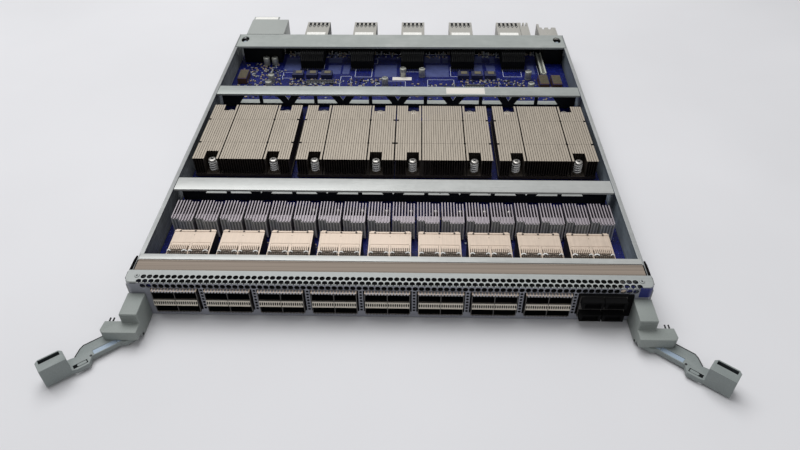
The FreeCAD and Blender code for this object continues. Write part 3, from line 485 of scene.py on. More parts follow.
def slabs(x: Array | float, width: float, y: Span,
          z: Span) -> Shape:
    """Boxes of one width about each X, between two Y and two Z."""
    x = np.atleast_1d(np.asarray(x, float))
    return boxes(every(x - width / 2, y[0], z[0]), every(x + width / 2, y[1], z[1]))


def blocks(centres: Array, sizes: Array) -> Shape:
    """Boxes from the middles of their bases and their sizes."""
    centres, sizes = np.atleast_2d(centres).astype(float), np.atleast_2d(sizes).astype(float)
    half = sizes * (0.5, 0.5, 0.0)
    return boxes(centres - half, centres + half + sizes * (0.0, 0.0, 1.0))


def tapered(x: Array, y0: Array, y1: Array, z: Span,
            widths: Span) -> Shape:
    """Blades along Y that narrow upwards, from the first width to the second."""
    made = boxes(rows(x - 0.5, y0, z[0]), rows(x + 0.5, y1, z[1]))
    centre = np.repeat(x, 8)
    wide = np.where(made.points[:, 2] > (z[0] + z[1]) / 2, widths[1], widths[0])
    made.points[:, 0] = centre + (made.points[:, 0] - centre) * wide
    return made


def lattice(lines: int, columns: int, wrap: bool = False) -> Array:
    """Quads between the points of a grid, joined round its columns where wrap is true."""
    i, j = np.meshgrid(np.arange(lines - 1), np.arange(columns - (not wrap)), indexing="ij")
    k = (j + 1) % columns
    return np.stack((i * columns + j, i * columns + k, (i + 1) * columns + k,
                     (i + 1) * columns + j), -1).reshape(-1, 4)


def cap(first: int, sides: int) -> Array:
    """Quads that fill a ring: each edge joined to the one opposite, counted from both ends."""
    k = np.arange(sides // 2 - 1)
    return first + np.stack((k, k + 1, sides - 2 - k, sides - 1 - k), 1)


def lathe(profile: Array, sides: int = 16) -> Shape:
    """A profile of (radius, height) rows turned about Z: X and Y are radius times the circle.

    Both ends run to radius 0, where the ring's points are joined into one.
    """
    profile = np.asarray(profile, float)
    angle = np.arange(sides) * 2 * math.pi / sides
    ring = np.stack((np.cos(angle), np.sin(angle)), 1)
    points = np.concatenate((profile[:, None, :1] * ring[None],
                             np.broadcast_to(profile[:, None, 1:], (len(profile), sides, 1))), 2)
    return Shape(points.reshape(-1, 3), lattice(len(profile), sides, wrap=True))


def disc(radius: float, height: float, sides: int) -> Shape:
    """A flat disc that stands on zero."""
    return lathe([(0.0, 0.0), (radius, 0.0), (radius, height), (0.0, height)], sides)


def carried(outline: Array, x0: float, x1: float) -> Shape:
    """A closed outline of (Y, Z) rows carried along X, with its ends filled."""
    n = len(outline)
    points = np.vstack([rows(x, *np.transpose(outline)) for x in (x0, x1)])
    return Shape(points, np.vstack((lattice(2, n, wrap=True), cap(0, n), cap(n, n))))


def risen(outline: Array, low: float, high: float) -> Shape:
    """A closed outline of (X, Y) rows carried up Z, with its ends filled."""
    n = len(outline)
    points = np.vstack([rows(*np.transpose(outline), z) for z in (low, high)])
    return Shape(points, np.vstack((lattice(2, n, wrap=True), cap(0, n), cap(n, n))))


def wire(path: Array, out: Array, radius: float, sides: int = 6) -> Shape:
    """A round wire: a small circle carried along a path, square to it, with closed ends.

    Args:
        path: The points of its middle line.
        out: A unit vector square to the path, one for all points or one each.
        radius: The wire's radius.
        sides: Points in the circle.
    """
    path = np.asarray(path, float)
    out = np.broadcast_to(np.asarray(out, float), path.shape)
    up = np.cross(out, np.gradient(path, axis=0))
    up /= np.linalg.norm(up, axis=1)[:, None]
    a = (np.arange(sides) * 2 * math.pi / sides)[None, :, None]
    points = path[:, None] + radius * (np.cos(a) * out[:, None] + np.sin(a) * up[:, None])
    return Shape(points.reshape(-1, 3), np.vstack((
        lattice(len(path), sides, wrap=True), cap(0, sides), cap(sides * (len(path) - 1), sides))))


def coil(radius: float, gauge: float, low: float, high: float, turns: float) -> Shape:
    """A spring: a wire on a helix, whose angle runs evenly with its height."""
    t = np.linspace(0, turns * 2 * math.pi, int(turns * 14) + 1)
    c, s = np.cos(t), np.sin(t)
    return wire(rows(radius * c, radius * s, np.linspace(low, high, len(t))), rows(c, s, 0.0),
                gauge)


def frame_lines(x: Span, y: Span, z: float,
                width: float) -> Shape:
    """A thin rectangle of four flat strokes."""
    thick = 0.05
    low = [(x[0], y[0], z), (x[0], y[1] - width, z), (x[0], y[0], z), (x[1] - width, y[0], z)]
    high = [(x[1], y[0] + width, z + thick), (x[1], y[1], z + thick),
            (x[0] + width, y[1], z + thick), (x[1], y[1], z + thick)]
    return boxes(low, high)


def holed_cell(width: float, height: float, radius: float, sides: int = 12) -> tuple[Array, Array]:
    """One cell of perforated sheet, flat.

    The inner ring is the hole's circle, and the outer ring is the cell's edge met by the same
    rays, with the nearest rays turned to the corners.

    Returns:
        The rings as (2, sides, 2) points, and the quads between them.
    """
    per = sides // 4
    t = np.arange(per) / per
    w, h = width / 2, height / 2
    edge = np.concatenate((np.stack((-w + 2 * w * t, -h + 0 * t), 1),
                           np.stack((w + 0 * t, -h + 2 * h * t), 1),
                           np.stack((w - 2 * w * t, h + 0 * t), 1),
                           np.stack((-w + 0 * t, h - 2 * h * t), 1)))
    angle = np.arctan2(edge[:, 1] / h, edge[:, 0] / w)
    hole = radius * np.stack((np.cos(angle), np.sin(angle)), 1)
    return np.stack((hole, edge)), lattice(2, sides, wrap=True)[:, ::-1]


Form = Callable[[Array, Array, float], Array]


@dataclass
class Sheet:
    """Thin sheet drawn flat, in strips and cells, then given two skins on a form."""

    flat: list[Array] = field(default_factory=list)
    quads: list[Array] = field(default_factory=list)
    count: int = 0

    def add(self, flat: Array, quads: Array) -> None:
        """Adds flat points and the quads between them."""
        self.flat.append(flat)
        self.quads.append(quads + self.count)
        self.count += len(flat)

    def plain(self, x: Array, s: Array) -> None:
        """Adds a rectangle with cuts at every given x and s."""
        u, v = np.meshgrid(x, s)
        self.add(np.stack((u, v), -1).reshape(-1, 2), lattice(len(s), len(x)))

    def holes(self, centres: Array, width: float, height: float, radius: float,
              sides: int = 12, tall: float = 1.0) -> None:
        """Adds a cell with a hole, round or drawn out along s, at each centre."""
        rings, quads = holed_cell(width, height / tall, radius, sides)
        rings = rings * (1.0, tall)
        centres = np.asarray(centres, float)
        flat = (rings.reshape(1, -1, 2) + centres[:, None]).reshape(-1, 2)
        step = (np.arange(len(centres)) * 2 * sides)[:, None, None]
        self.add(flat, (quads[None] + step).reshape(-1, 4))

    def shape(self, form: Form) -> Shape:
        """Returns the folded sheet: two skins, and a wall along each edge met by one face.

        Args:
            form: Gives points in space for arrays of x and s and for a skin, where 0 is the
                outside and 1 the inside.
        """
        flat, quads = np.vstack(self.flat), np.vstack(self.quads)
        _, first, back = np.unique(np.round(flat, 3), axis=0, return_index=True,
                                   return_inverse=True)
        flat, quads = flat[first], back.reshape(-1)[quads]
        n = len(flat)
        a, b = quads.reshape(-1), np.roll(quads, -1, axis=1).reshape(-1)
        rim = ~np.isin(a * n + b, b * n + a)
        a, b = a[rim], b[rim]
        walls = np.stack((b, a, a + n, b + n), 1)
        points = np.vstack([form(flat[:, 0], flat[:, 1], skin) for skin in (0.0, 1.0)])
        return Shape(points, np.vstack((quads, quads[:, ::-1] + n, walls)))


# ---------------------------------------------------------------- pieces

# the height of the board's lacquered face over the base plane
BOARD_TOP = 7.0


class Body(Enum):
    """The bodies that pieces ride on."""

    CARD = "card"
    LEVER_LEFT = "lever_left"
    LEVER_RIGHT = "lever_right"
    LATCH_LEFT = "latch_left"
    LATCH_RIGHT = "latch_right"


def limits(node: str) -> tuple[Array, Array]:
    """The lowest and highest corners of a solid's box, in millimetres."""
    low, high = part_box(node)
    return np.array(low) / MM, np.array(high) / MM


def piece(name: str, shape: Shape, finish: Finishes, body: Body = Body.CARD,
          replaces: tuple[str, ...] = (), bevel: float = 0.0,
          smooth: bool = False) -> bpy.types.Object:
    """Puts a shape into a mesh with its finish and body.

    Args:
        name: The piece's name.
        shape: Points and faces in millimetres.
        finish: What it is made of.
        body: What it rides on.
        replaces: The solids that it stands for.
        bevel: Width of its broken edges in millimetres.
        smooth: Whether it is shaded as one curved surface.

    Returns:
        The object.
    """
    mesh = bpy.data.meshes.new(name)
    mesh.from_pydata((shape.points * MM).tolist(), [], shape.quads.tolist())
    tidy = bmesh.new()
    tidy.from_mesh(mesh)
    bmesh.ops.remove_doubles(tidy, verts=tidy.verts, dist=1e-6)
    bmesh.ops.recalc_face_normals(tidy, faces=tidy.faces)
    tidy.to_mesh(mesh)
    tidy.free()
    return finish_piece(bpy.data.objects.new(name, mesh), finish, body, replaces, bevel, smooth)


def finish_piece(made: bpy.types.Object, finish: Finishes, body: Body,
                 replaces: tuple[str, ...] = (), bevel: float = 0.0,
                 smooth: bool = False) -> bpy.types.Object:
    """Links an object, dresses it and ties it to the frame. The arguments are as in piece."""
    bpy.context.scene.collection.objects.link(made)
    made.data.materials.append(finish.value.material())
    if smooth:
        made.data.shade_smooth()
    if bevel:
        edge = made.modifiers.new("edges", "BEVEL")
        edge.width, edge.segments, edge.limit_method = bevel * MM, 2, "ANGLE"
        edge.harden_normals = True
        made.data.shade_smooth()
    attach(made, body.value)
    if replaces:
        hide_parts(*replaces)
    log.info("%s: %d faces, %s", made.name, len(made.data.polygons), finish.value.name)
    return made


def softened(frame: dict, node: str, finish: Finishes, body: Body = Body.CARD,
             bevel: float = 0.3, split: float | None = None) -> bpy.types.Object:
    """Stands a copy of a solid with broken edges in its place.

    Args:
        frame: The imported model.
        node: The solid's name.
        finish: What it is made of.
        body: What it rides on.
        bevel: Width of the broken edges in millimetres.
        split: A Y at which its faces are parted, so that each side can have its own finish.

    Returns:
        The copy.
    """
    work = bmesh.new()
    work.from_mesh(frame["nodes"][node].data)
    bmesh.ops.remove_doubles(work, verts=work.verts, dist=1e-6)
    bmesh.ops.dissolve_limit(work, angle_limit=math.radians(1), verts=work.verts,
                             edges=work.edges)
    if split is not None:
        bmesh.ops.bisect_plane(work, geom=work.verts[:] + work.edges[:] + work.faces[:],
                               plane_co=(0, split * MM, 0), plane_no=(0, 1, 0))
    mesh = bpy.data.meshes.new(f"{node}_dressed")
    work.to_mesh(mesh)
    work.free()
    made = bpy.data.objects.new(f"{node}_dressed", mesh)
    return finish_piece(made, finish, body, (node,), bevel)


def paint(made: bpy.types.Object, finish: Finishes,
          where: Callable[[Array, Array], Array]) -> None:
    """Gives some faces of a piece another finish.

    Args:
        made: The piece.
        finish: The other finish.
        where: Tells which faces, from rows of their middles in millimetres and their normals.
    """
    faces = made.data.polygons
    middle, normal = np.zeros(len(faces) * 3), np.zeros(len(faces) * 3)
    faces.foreach_get("center", middle)
    faces.foreach_get("normal", normal)
    index = np.zeros(len(faces), int)
    faces.foreach_get("material_index", index)
    index[where(middle.reshape(-1, 3) / MM, normal.reshape(-1, 3))] = len(made.data.materials)
    made.data.materials.append(finish.value.material())
    faces.foreach_set("material_index", index)


def dress(frame: dict, finish: Finishes, *nodes: str) -> None:
    """Gives solids that stay in view their finish."""
    for node in nodes:
        data = frame["nodes"][node].data
        data.materials.clear()
        data.materials.append(finish.value.material())


# ---------------------------------------------------------------- front

@dataclass
class CageRow:
    """Where the port cages stand: an even row about the card's middle."""

    count: int = 9

    def __post_init__(self) -> None:
        """Takes the cages' size and pitch from the frame."""
        low, high = limits("port_cage_1")
        last = limits(f"port_cage_{self.count}")[0]
        self.width, self.pitch = high[0] - low[0], (last[0] - low[0]) / (self.count - 1)
        self.front, self.rear, self.top = low[1], high[1], high[2]

    def columns(self) -> Array:
        """The X of each cage's middle."""
        return (np.arange(self.count) - (self.count - 1) / 2) * self.pitch

    def between(self) -> Array:
        """The X of the middle of each gap between two cages."""
        return self.columns()[:-1] + self.pitch / 2


@dataclass
class FrontPanel:
    """The folded, perforated front sheet with its screws, labels, seals and black liners painted as
    shade.
    """

    gauge: float = 1.2
    bend: float = 1.6
    pitch: float = 5.1
    vents: int = 80
    vent_rows: tuple[float, ...] = (34.2, 39.3, 44.4)
    vent_radius: float = 2.32
    opening: Span = (6.7, 31.5)
    post: float = 4.0
    post_holes: int = 7
    post_radius: float = 1.25
    corner: float = 4.5
    shade_liner_x: Span = (-195.0, 190.0)
    # where the black liners painted as shade lie behind the vents
    shade_liner_s: tuple[float, ...] = (32.0, 36.0, 37.0, 37.8, 38.6, 39.6, 48.8)
    shade_liner_gauge: float = 0.6
    label_x: Span = (204.6, 215.9)
    label_s: tuple[float, ...] = (27.8, 37.0, 38.4)
    gasket_end: float = 1.4

    def __post_init__(self) -> None:
        """Takes the panel's reach and the cages' places from the frame."""
        self.half, self.depth, self.top = limits("front_panel")[1]
        self.cages = CageRow()

    def form(self, x: Array, s: Array, skin: float) -> Array:
        """Folds the flat sheet: up the face, round the bend, then back along the flange.

        Beyond the face's height, s turns through a quarter circle and then runs along Y. The
        last millimetres at each end run back on another quarter circle.
        """
        turn = self.top - self.bend
        arc = self.bend * math.pi / 2
        angle = np.clip((s - turn) / self.bend, 0, math.pi / 2)
        out = self.bend - skin * self.gauge
        y = self.bend - out * np.cos(angle) + np.clip(s - turn - arc, 0, None)
        z = np.where(s < turn, s, turn + out * np.sin(angle))
        over = np.clip(np.abs(x) - self.half + self.corner, 0, self.corner)
        y = y + self.corner - np.sqrt(self.corner ** 2 - over ** 2)
        return rows(x, np.minimum(y, self.depth), z)

    def flat_end(self) -> float:
        """The value of s at the flange's rear edge."""
        return self.top - self.bend + self.bend * math.pi / 2 + self.depth - self.bend

    def end_cuts(self, start: float) -> Array:
        """X from a start to the right end, close together round the corner."""
        return np.concatenate(([start], np.linspace(self.half - self.corner, self.half, 8)))

    def strip(self, sheet: Sheet, s: Array) -> None:
        """Adds a strip from end to end."""
        right = self.end_cuts(0.0)
        sheet.plain(np.concatenate((-right[:0:-1], right)), s)

    def ends(self, sheet: Sheet, start: float, s: Array) -> None:
        """Adds a strip at each end, from a start outwards."""
        right = self.end_cuts(start)
        sheet.plain(right, s)
        sheet.plain(-right[::-1], s)

    def build(self, frame: dict) -> None:
        """Makes the sheet from plain strips, posts and perforated rows."""
        sheet = Sheet()
        cell = self.vent_rows[1] - self.vent_rows[0]
        for s in ((0.0, self.opening[0]), (self.opening[1], self.vent_rows[0] - cell / 2),
                  (self.vent_rows[-1] + cell / 2, self.flat_end())):
            self.strip(sheet, np.array(s))
        self.posts(sheet)
        for line, s in enumerate(self.vent_rows):
            count = self.vents + line % 2
            x = (np.arange(count) - (count - 1) / 2) * self.pitch
            sheet.holes(every(x, s, 0.0)[:, :2], self.pitch, cell, self.vent_radius)
            self.ends(sheet, count * self.pitch / 2,
                      np.linspace(s - cell / 2, s + cell / 2, 6))
        made = piece("front_panel_sheet", sheet.shape(self.form), Finishes.PANEL,
                     replaces=("front_panel",))
        flange = self.top - self.bend
        # the upright face is painted darker as shade, and the walls of holes and edges near black
        # as shade
        paint(made, Finishes.FACE, lambda at, n: (n[:, 1] < -0.5) & (at[:, 2] < flange))
        paint(made, Finishes.EDGE, lambda at, n: np.where(
            at[:, 2] < flange, np.abs(n[:, 1]) < 0.3, np.abs(n[:, 2]) < 0.3)
            & (np.abs(at[:, 0]) < self.half - self.corner) & (at[:, 1] < self.depth - 0.5))
        self.seals()
        self.labels()
        self.gasket()
        softened(frame, "front_crossbar", Finishes.BAR, bevel=0.25)
        self.screws()

    def posts(self, sheet: Sheet) -> None:
        """Adds the posts between the openings, each with a column of small holes."""
        low, high = self.opening
        cell = (high - low) / self.post_holes
        s = middles(low, high, self.post_holes)
        sheet.holes(every(self.cages.between(), s, 0.0)[:, :2], self.post, cell,
                    self.post_radius, 8)
        self.ends(sheet, (self.cages.count * self.cages.pitch - self.post) / 2,
                  np.array(self.opening))

    def seals(self) -> None:
        """Black sheets painted as shade behind the vents and between the cages."""
        sheet = Sheet()
        sheet.plain(np.array(self.shade_liner_x), np.array(self.shade_liner_s))
        behind = sheet.shape(lambda x, s, skin: self.form(x, s, 1.1 + 0.2 * skin))
        front = self.gauge + 0.1
        between = slabs(self.cages.between(), self.cages.pitch - self.cages.width - 0.1,
                        (front, front + self.shade_liner_gauge), self.opening)
        piece("panel_shade_liners", behind + between, Finishes.FOAM_AND_SHADE)

    def labels(self) -> None:
        """A blank blue label on the right end of the face, which follows the corner."""
        sheet = Sheet()
        sheet.plain(np.linspace(*self.label_x, 14), np.array(self.label_s))
        piece("panel_label", sheet.shape(lambda x, s, skin: self.form(x, s, 0.08 * skin - 0.1)),
              Finishes.BLUE_LABEL)

    def gasket(self) -> None:
        """A flat sealing strip with a groove near each long edge and dark ends."""
        (x0, y0, z0), (x1, y1, z1) = limits("panel_gasket")
        left, right = x0 + self.gasket_end, x1 - self.gasket_end
        top = [(y0, z1 - 0.6), (y0 + 0.5, z1 - 0.1), (y0 + 1.6, z1), (y0 + 2.0, z1 - 0.35),
               (y0 + 2.4, z1)]
        rear = [(y0 + y1 - y, z) for y, z in reversed(top)]
        outline = [(y0, z0), *top, *rear, (y1, z0)]
        piece("gasket_strip", carried(outline, left, right), Finishes.GASKET,
              replaces=("panel_gasket",))
        ends = boxes([(x0, y0, z0), (right, y0, z0)], [(left, y1, z1 - 0.2), (x1, y1, z1 - 0.2)])
        piece("gasket_ends", ends, Finishes.BLACK, bevel=0.6)
        bead = np.array([(y0 - 9.0, 37.6), (y0 - 2.0, 38.0), (y0 + 1.0, z1 + 0.6),
                         (y1 - 1.0, z1 + 0.4), (y1 + 5.0, 35.6), (y1 + 5.0, 34.6),
                         (y1 - 1.0, z0), (y0 + 1.0, z0), (y0 - 2.0, 35.8), (y0 - 9.0, 36.4)])
        sides = carried(bead, -0.5, 0.5).at([(-self.half - 0.3, 0, 0), (self.half + 0.3, 0, 0)])
        piece("panel_end_seals", sides, Finishes.FOAM_AND_SHADE)
        # a thin dark strip painted as shadow where the gasket meets the crossbar
        shade = boxes((left, y1 - 0.5, z1), (right, y1 + 0.1, z1 + 0.15))
        piece("gasket_gap_shadow", shade, Finishes.CAGE_SHADE)

    def screws(self) -> None:
        """Low round screw heads on the flange, their drive holes painted dark as shade."""
        low, high = limits("panel_screws")
        radius = (high[1] - low[1]) / 2
        x, y, floor = high[0] - radius, (low[1] + high[1]) / 2, low[2]
        places = [(-x, y, floor), (x, y, floor)]
        head = lathe([(0.0, 0.0), (radius, 0.0), (radius, 0.3), (radius - 0.5, 0.7),
                      (1.0, 0.8), (0.8, 0.3), (0.0, 0.3)], 16)
        piece("panel_screw_heads", head.at(places), Finishes.PANEL, replaces=("panel_screws",),
              smooth=True)
        hole = lathe([(0.0, 0.3), (0.8, 0.3), (0.8, 0.65), (0.0, 0.65)], 6)
        piece("panel_screw_drives", hole.at(places), Finishes.DARK)


@dataclass
class PortBank(CageRow):
    """The cages' fronts, tops and small heat sinks."""

    port: float = 18.55
    mouths_z: Outline = ((7.6, 15.7), (22.5, 30.6))
    mouth: float = 18.0
    strip_z: Span = (16.2, 22.0)
    strip_cells: int = 10
    sink_pins: int = 10
    pin_rows: int = 5
    sink_width: float = 16.2
    pin_reach: float = 12.1
    ledge: float = 4.4
    # reach and height of the black strip painted as shadow beside the last cage
    shadow_reach: float = 200.7
    shadow_z: Span = (6.9, 31.2)
    fingers_each: int = 14
    finger_pitch: float = 2.6
    finger_width: float = 1.6
    finger_z: Span = (6.4, 30.6)
    beak: Outline = (
        (0.0, 0.9), (-2.2, 0.8), (-3.6, 0.4), (-4.1, -0.1), (-3.9, -0.3), (-3.4, 0.2),
        (-2.1, 0.6), (0.0, 0.7))
    dimple: Outline = (
        (0.0, 0.02), (0.6, 0.04), (0.85, 0.1), (1.0, 0.02), (1.0, 0.0))

    def __post_init__(self) -> None:
        """Takes the sinks' places from the frame too."""
        super().__post_init__()
        low, high = limits("port_heatsink_1")
        self.sink_y, self.sink_floor = (low[1], high[1]), low[2]

    def halves(self, count: int | None = None) -> Array:
        """The X of each half cage's middle, for the first few cages or all of them."""
        return (self.columns()[:count, None] + np.array([-0.5, 0.5]) * self.port).ravel()

    def build(self, frame: dict) -> None:
        """Dresses the cages and adds their fronts, rims, sinks and wires."""
        for i in range(1, self.count + 1):
            cage = softened(frame, f"port_cage_{i}", Finishes.CAGE, bevel=0.0)
            # the cages' side walls are painted dark as shade
            paint(cage, Finishes.CAGE_SHADE, lambda at, n: np.abs(n[:, 0]) > 0.5)
            paint(cage, Finishes.CAGE_EDGE,
                  lambda at, n: (n[:, 1] < -0.5) & (at[:, 1] < self.front + 0.5))
        softened(frame, "dust_plugs", Finishes.FOAM_AND_SHADE, bevel=0.4)
        # a black strip beside the last cage and a thin one over its front top, painted as shadow
        left, right = self.columns()[-1] + np.array((-0.5, 0.5)) * self.width
        (z0, z1), rear = self.shadow_z, -0.05
        gap = boxes([(right - 0.3, -2.0, z0), (left, self.front, self.top)],
                    [(self.shadow_reach, rear, z1), (right, rear, self.top + 0.25)])
        piece("last_cage_shadow", gap, Finishes.FOAM_AND_SHADE)
        self.linings()
        self.strips()
        self.fingers()
        self.tops()
        self.sinks()
        self.clips()

    def linings(self) -> None:
        """Black linings painted as shade just inside each open port, closed at the back."""
        x = self.halves(self.count - 1)
        y, half, skin = (self.front + 0.05, 64.0), self.mouth / 2, 0.1
        parts = []
        for low, high in self.mouths_z:
            parts += [slabs(x - half + skin / 2, skin, y, (low, high)),
                      slabs(x + half - skin / 2, skin, y, (low, high)),
                      slabs(x, self.mouth, y, (low, low + skin)),
                      slabs(x, self.mouth, y, (high - skin, high)),
                      slabs(x, self.mouth, (40.0, 40.2), (low, high))]
        piece("port_shade_linings", reduce(add, parts), Finishes.BLACK)

    def strips(self) -> None:
        """Perforated light-pipe strips between the upper and lower ports, painted black behind as
        shade.

        The real holes are too fine to show, so these are fewer and taller.
        """
        low, high = self.strip_z
        width = (self.port - 0.5) / self.strip_cells
        reach = width * self.strip_cells / 2
        x = np.add.outer(self.halves(self.count - 1), middles(-reach, reach, self.strip_cells))
        sheet = Sheet()
        sheet.holes(every(x.ravel(), (low + high) / 2, 0)[:, :2], width, high - low, 0.64, 8,
                    tall=2.6)
        front = self.front
        made = piece("port_strips", sheet.shape(lambda x, s, skin: rows(
            x, front - 1.9 + 0.2 * (s - low) + 0.3 * skin, s)), Finishes.STRIP)
        # the holes' walls are painted black as shade
        paint(made, Finishes.BLACK, lambda at, n: np.abs(n[:, 1]) < 0.5)
        piece("port_strip_shade_backs", slabs(self.halves(self.count - 1), self.port - 0.4,
                                        (front - 0.3, front + 0.1), self.strip_z),
              Finishes.BLACK)

    def fingers(self) -> None:
        """Sprung contact fingers over and under each cage's mouth, bent like a beak."""
        steps = np.arange(self.fingers_each) - (self.fingers_each - 1) / 2
        x = np.add.outer(self.columns()[:-1], steps * self.finger_pitch).ravel()
        half, (low, high) = self.finger_width / 2, self.finger_z
        upper = carried(self.beak, -half, half).at(every(x, -0.1, high))
        below = [(y, 0.4 - z) for y, z in reversed(self.beak)]
        lower = carried(below, -half, half).at(every(x, -0.1, low))
        piece("contact_fingers", upper + lower, Finishes.FINGER)

    def tops(self) -> None:
        """Raised panels and rear rims on the cages' tops, with rivets, a mark and tabs."""
        x, half = self.columns(), self.width / 2
        raised = slabs(x, self.width - 3.4, (self.sink_y[1] + 0.6, self.rear - 3.6),
                       (self.top - 0.1, self.top + 0.22))
        rim = slabs(x, self.width, (self.rear - 1.9, self.rear), (self.top, self.top + 0.5))
        tabs = slabs(np.concatenate((x - half + 3.0, x + half - 3.0)), 4.0,
                     (self.rear, self.rear + 0.9), (self.top - 0.2, self.top + 0.5))
        piece("cage_rims", raised + rim + tabs, Finishes.CAGE, bevel=0.12)
        dimple = lathe(self.dimple, 10)
        spots = every(x, self.rear - 1.3, self.top + 0.5)[:, None] + [
            (-13.5, 0, 0), (0, 0, 0), (13.5, 0, 0)]
        mark = every(x, self.rear - 6.2, self.top + 0.2)
        rivets = dimple.at(spots.reshape(-1, 3))
        small = Shape(dimple.points * 0.55, dimple.quads).at(mark)
        # the rivets and the mark take the cages' painted-shade finish
        piece("cage_rivets", rivets + small, Finishes.CAGE_SHADE, smooth=True)

    def sinks(self) -> None:
        """Finned blocks in the cages' windows: long fins behind, rows of pins in front."""
        x = self.halves()
        low, high = self.sink_y
        wide, floor = self.sink_width, self.sink_floor
        part, back = low + self.pin_reach, high - self.ledge
        nodes = tuple(f"port_heatsink_{i}" for i in range(1, self.count + 1))
        columns = np.add.outer(x, middles(-wide / 2, wide / 2, self.sink_pins)).ravel()
        fins = slabs(columns, 0.95, (part, back), (floor, floor + 2.9))
        piece("port_sink_fins", fins, Finishes.CAGE, replaces=nodes, bevel=0.1)
        u, v = np.meshgrid(columns, np.linspace(low + 1.4, part - 1.6, self.pin_rows))
        lean = np.where(np.arange(self.pin_rows) % 2, 0.4, -0.4)[:, None]
        at = rows(u + lean, v, floor).reshape(-1, 3)
        piece("port_sink_pins", blocks(at, [(0.8, 1.0, 2.6)]), Finishes.PINS)
        piece("port_sink_ledges", slabs(x, wide, (back, high), (floor, self.top + 0.02)),
              Finishes.CAGE)
        # the plates under the pins are painted dark as shade
        piece("port_sink_plates", slabs(x, wide, (low, back), (floor, floor + 0.9)),
              Finishes.CAGE_SHADE)

    def clips(self) -> None:
        """A sprung wire over each sink, bowed up from a hook at either end."""
        low, high = limits("heatsink_clips")
        y = (low[1] + high[1]) / 2
        t = np.linspace(-1, 1, 25)
        reach = self.port / 2 - 0.7
        rise = high[2] - 0.4 - (self.top + 0.5)
        path = rows(reach * t, y - 0.6 + 0.9 * np.cos(t * 9),
                    self.top + 0.5 + rise * (1 - np.abs(t) ** 8))
        out = (0.0, 1.0, 0.0)
        places = every(self.halves(), 0, 0)
        piece("clip_wires", wire(path, out, 0.32).at(places), Finishes.WIRE,
              replaces=("heatsink_clips",), smooth=True)
        s = np.linspace(0, 1, 9)
        hook = rows(reach - 3.8 * (1 - s), y - 1.6 + 2.0 * np.sin(s * 2.2),
                    self.top + 0.9 + rise * np.cos(s * 1.3))
        both = reduce(add, (wire(h, out, 0.7).at(places) for h in (hook, hook * (-1, 1, 1))))
        # the hooks are painted near white as a highlight
        piece("clip_hooks", both, Finishes.HOOK, smooth=True)


# ---------------------------------------------------------------- heat sinks

@dataclass
class LineSinks:
    """Extruded sinks behind the cages: three fins of each start further back."""

    count: int = 18
    fins: int = 8
    fin_pitch: float = 2.78
    widths: Span = (1.5, 1.0)
    bridge: float = 10.5
    bridge_top: float = 28.2
    back: float = 3.0
    short: float = 2.0
    edge: int = 3
    base: float = 2.0
    inset: float = 0.4
    posts: tuple[int, int] = (5, 14)
    post: Outline = (
        (0.0, 20.0), (1.7, 20.0), (1.7, 29.0), (1.0, 30.0), (0.0, 29.6))
    post_place: Span = (2.5, 17.0)

    def build(self) -> None:
        """Makes every sink's base and fins."""
        nodes = tuple(f"line_heatsink_{i}" for i in range(1, self.count // 2 + 1))
        low, high = limits(nodes[0])[0], limits(nodes[-1])[1]
        width = self.fin_pitch * (self.fins - 1) + self.widths[0]
        pitch = (high[0] - low[0] - width) / (self.count - 1)
        x = low[0] + width / 2 + np.arange(self.count) * pitch
        k = np.arange(self.fins)
        fx = np.add.outer(x, (k - (self.fins - 1) / 2) * self.fin_pitch).ravel()
        y0 = low[1] + np.tile(np.where(k < self.edge, self.back, 0.0), self.count)
        y1 = high[1] - np.tile(np.where(k >= self.fins - self.edge, self.short, 0.0), self.count)
        # the fins' sides are painted darker as shade, and their tops keep the plain tone
        fins = piece("line_sink_fins", tapered(fx, y0, y1, (low[2], high[2]), self.widths),
                     Finishes.FIN_SHADE, replaces=nodes)
        paint(fins, Finishes.FIN, lambda at, n: n[:, 2] > 0.5)
        paint(fins, Finishes.FIN_END, lambda at, n: n[:, 1] < -0.5)
        # the bases under the fins take the same painted shade
        piece("line_sink_bases", slabs(x, width, (low[1] + 0.3, high[1] - 0.3),
                                       (low[2], low[2] + self.base)), Finishes.FIN_SHADE)
        self.bridges(x, width, low)

    def bridges(self, x: Array, width: float, low: Array) -> None:
        """Metal left between the fins at the front, in two steps as the fins are, painted darker as
        shade but for its tops.
        """
        part = -width / 2 + (self.edge - 0.5) * self.fin_pitch + self.widths[0] / 2
        z = (low[2], self.bridge_top)
        rear = low[1] + self.bridge
        left = boxes(every(x - width / 2 + 0.2, low[1] + self.back + self.inset, z[0]),
                     every(x + part, rear, z[1]))
        right = boxes(every(x + part, low[1] + self.inset, z[0]),
                      every(x + width / 2 - 0.2, rear, z[1]))
        made = piece("line_sink_bridges", left + right, Finishes.FIN_ROOT_SHADE)
        paint(made, Finishes.FIN, lambda at, n: n[:, 2] > 0.5)
        fins, behind = self.post_place
        spots = every(x[slice(*self.posts)] + fins * self.fin_pitch, low[1] + behind, 0)
        piece("line_sink_pins", lathe(self.post, 10).at(spots), Finishes.STEEL, smooth=True)


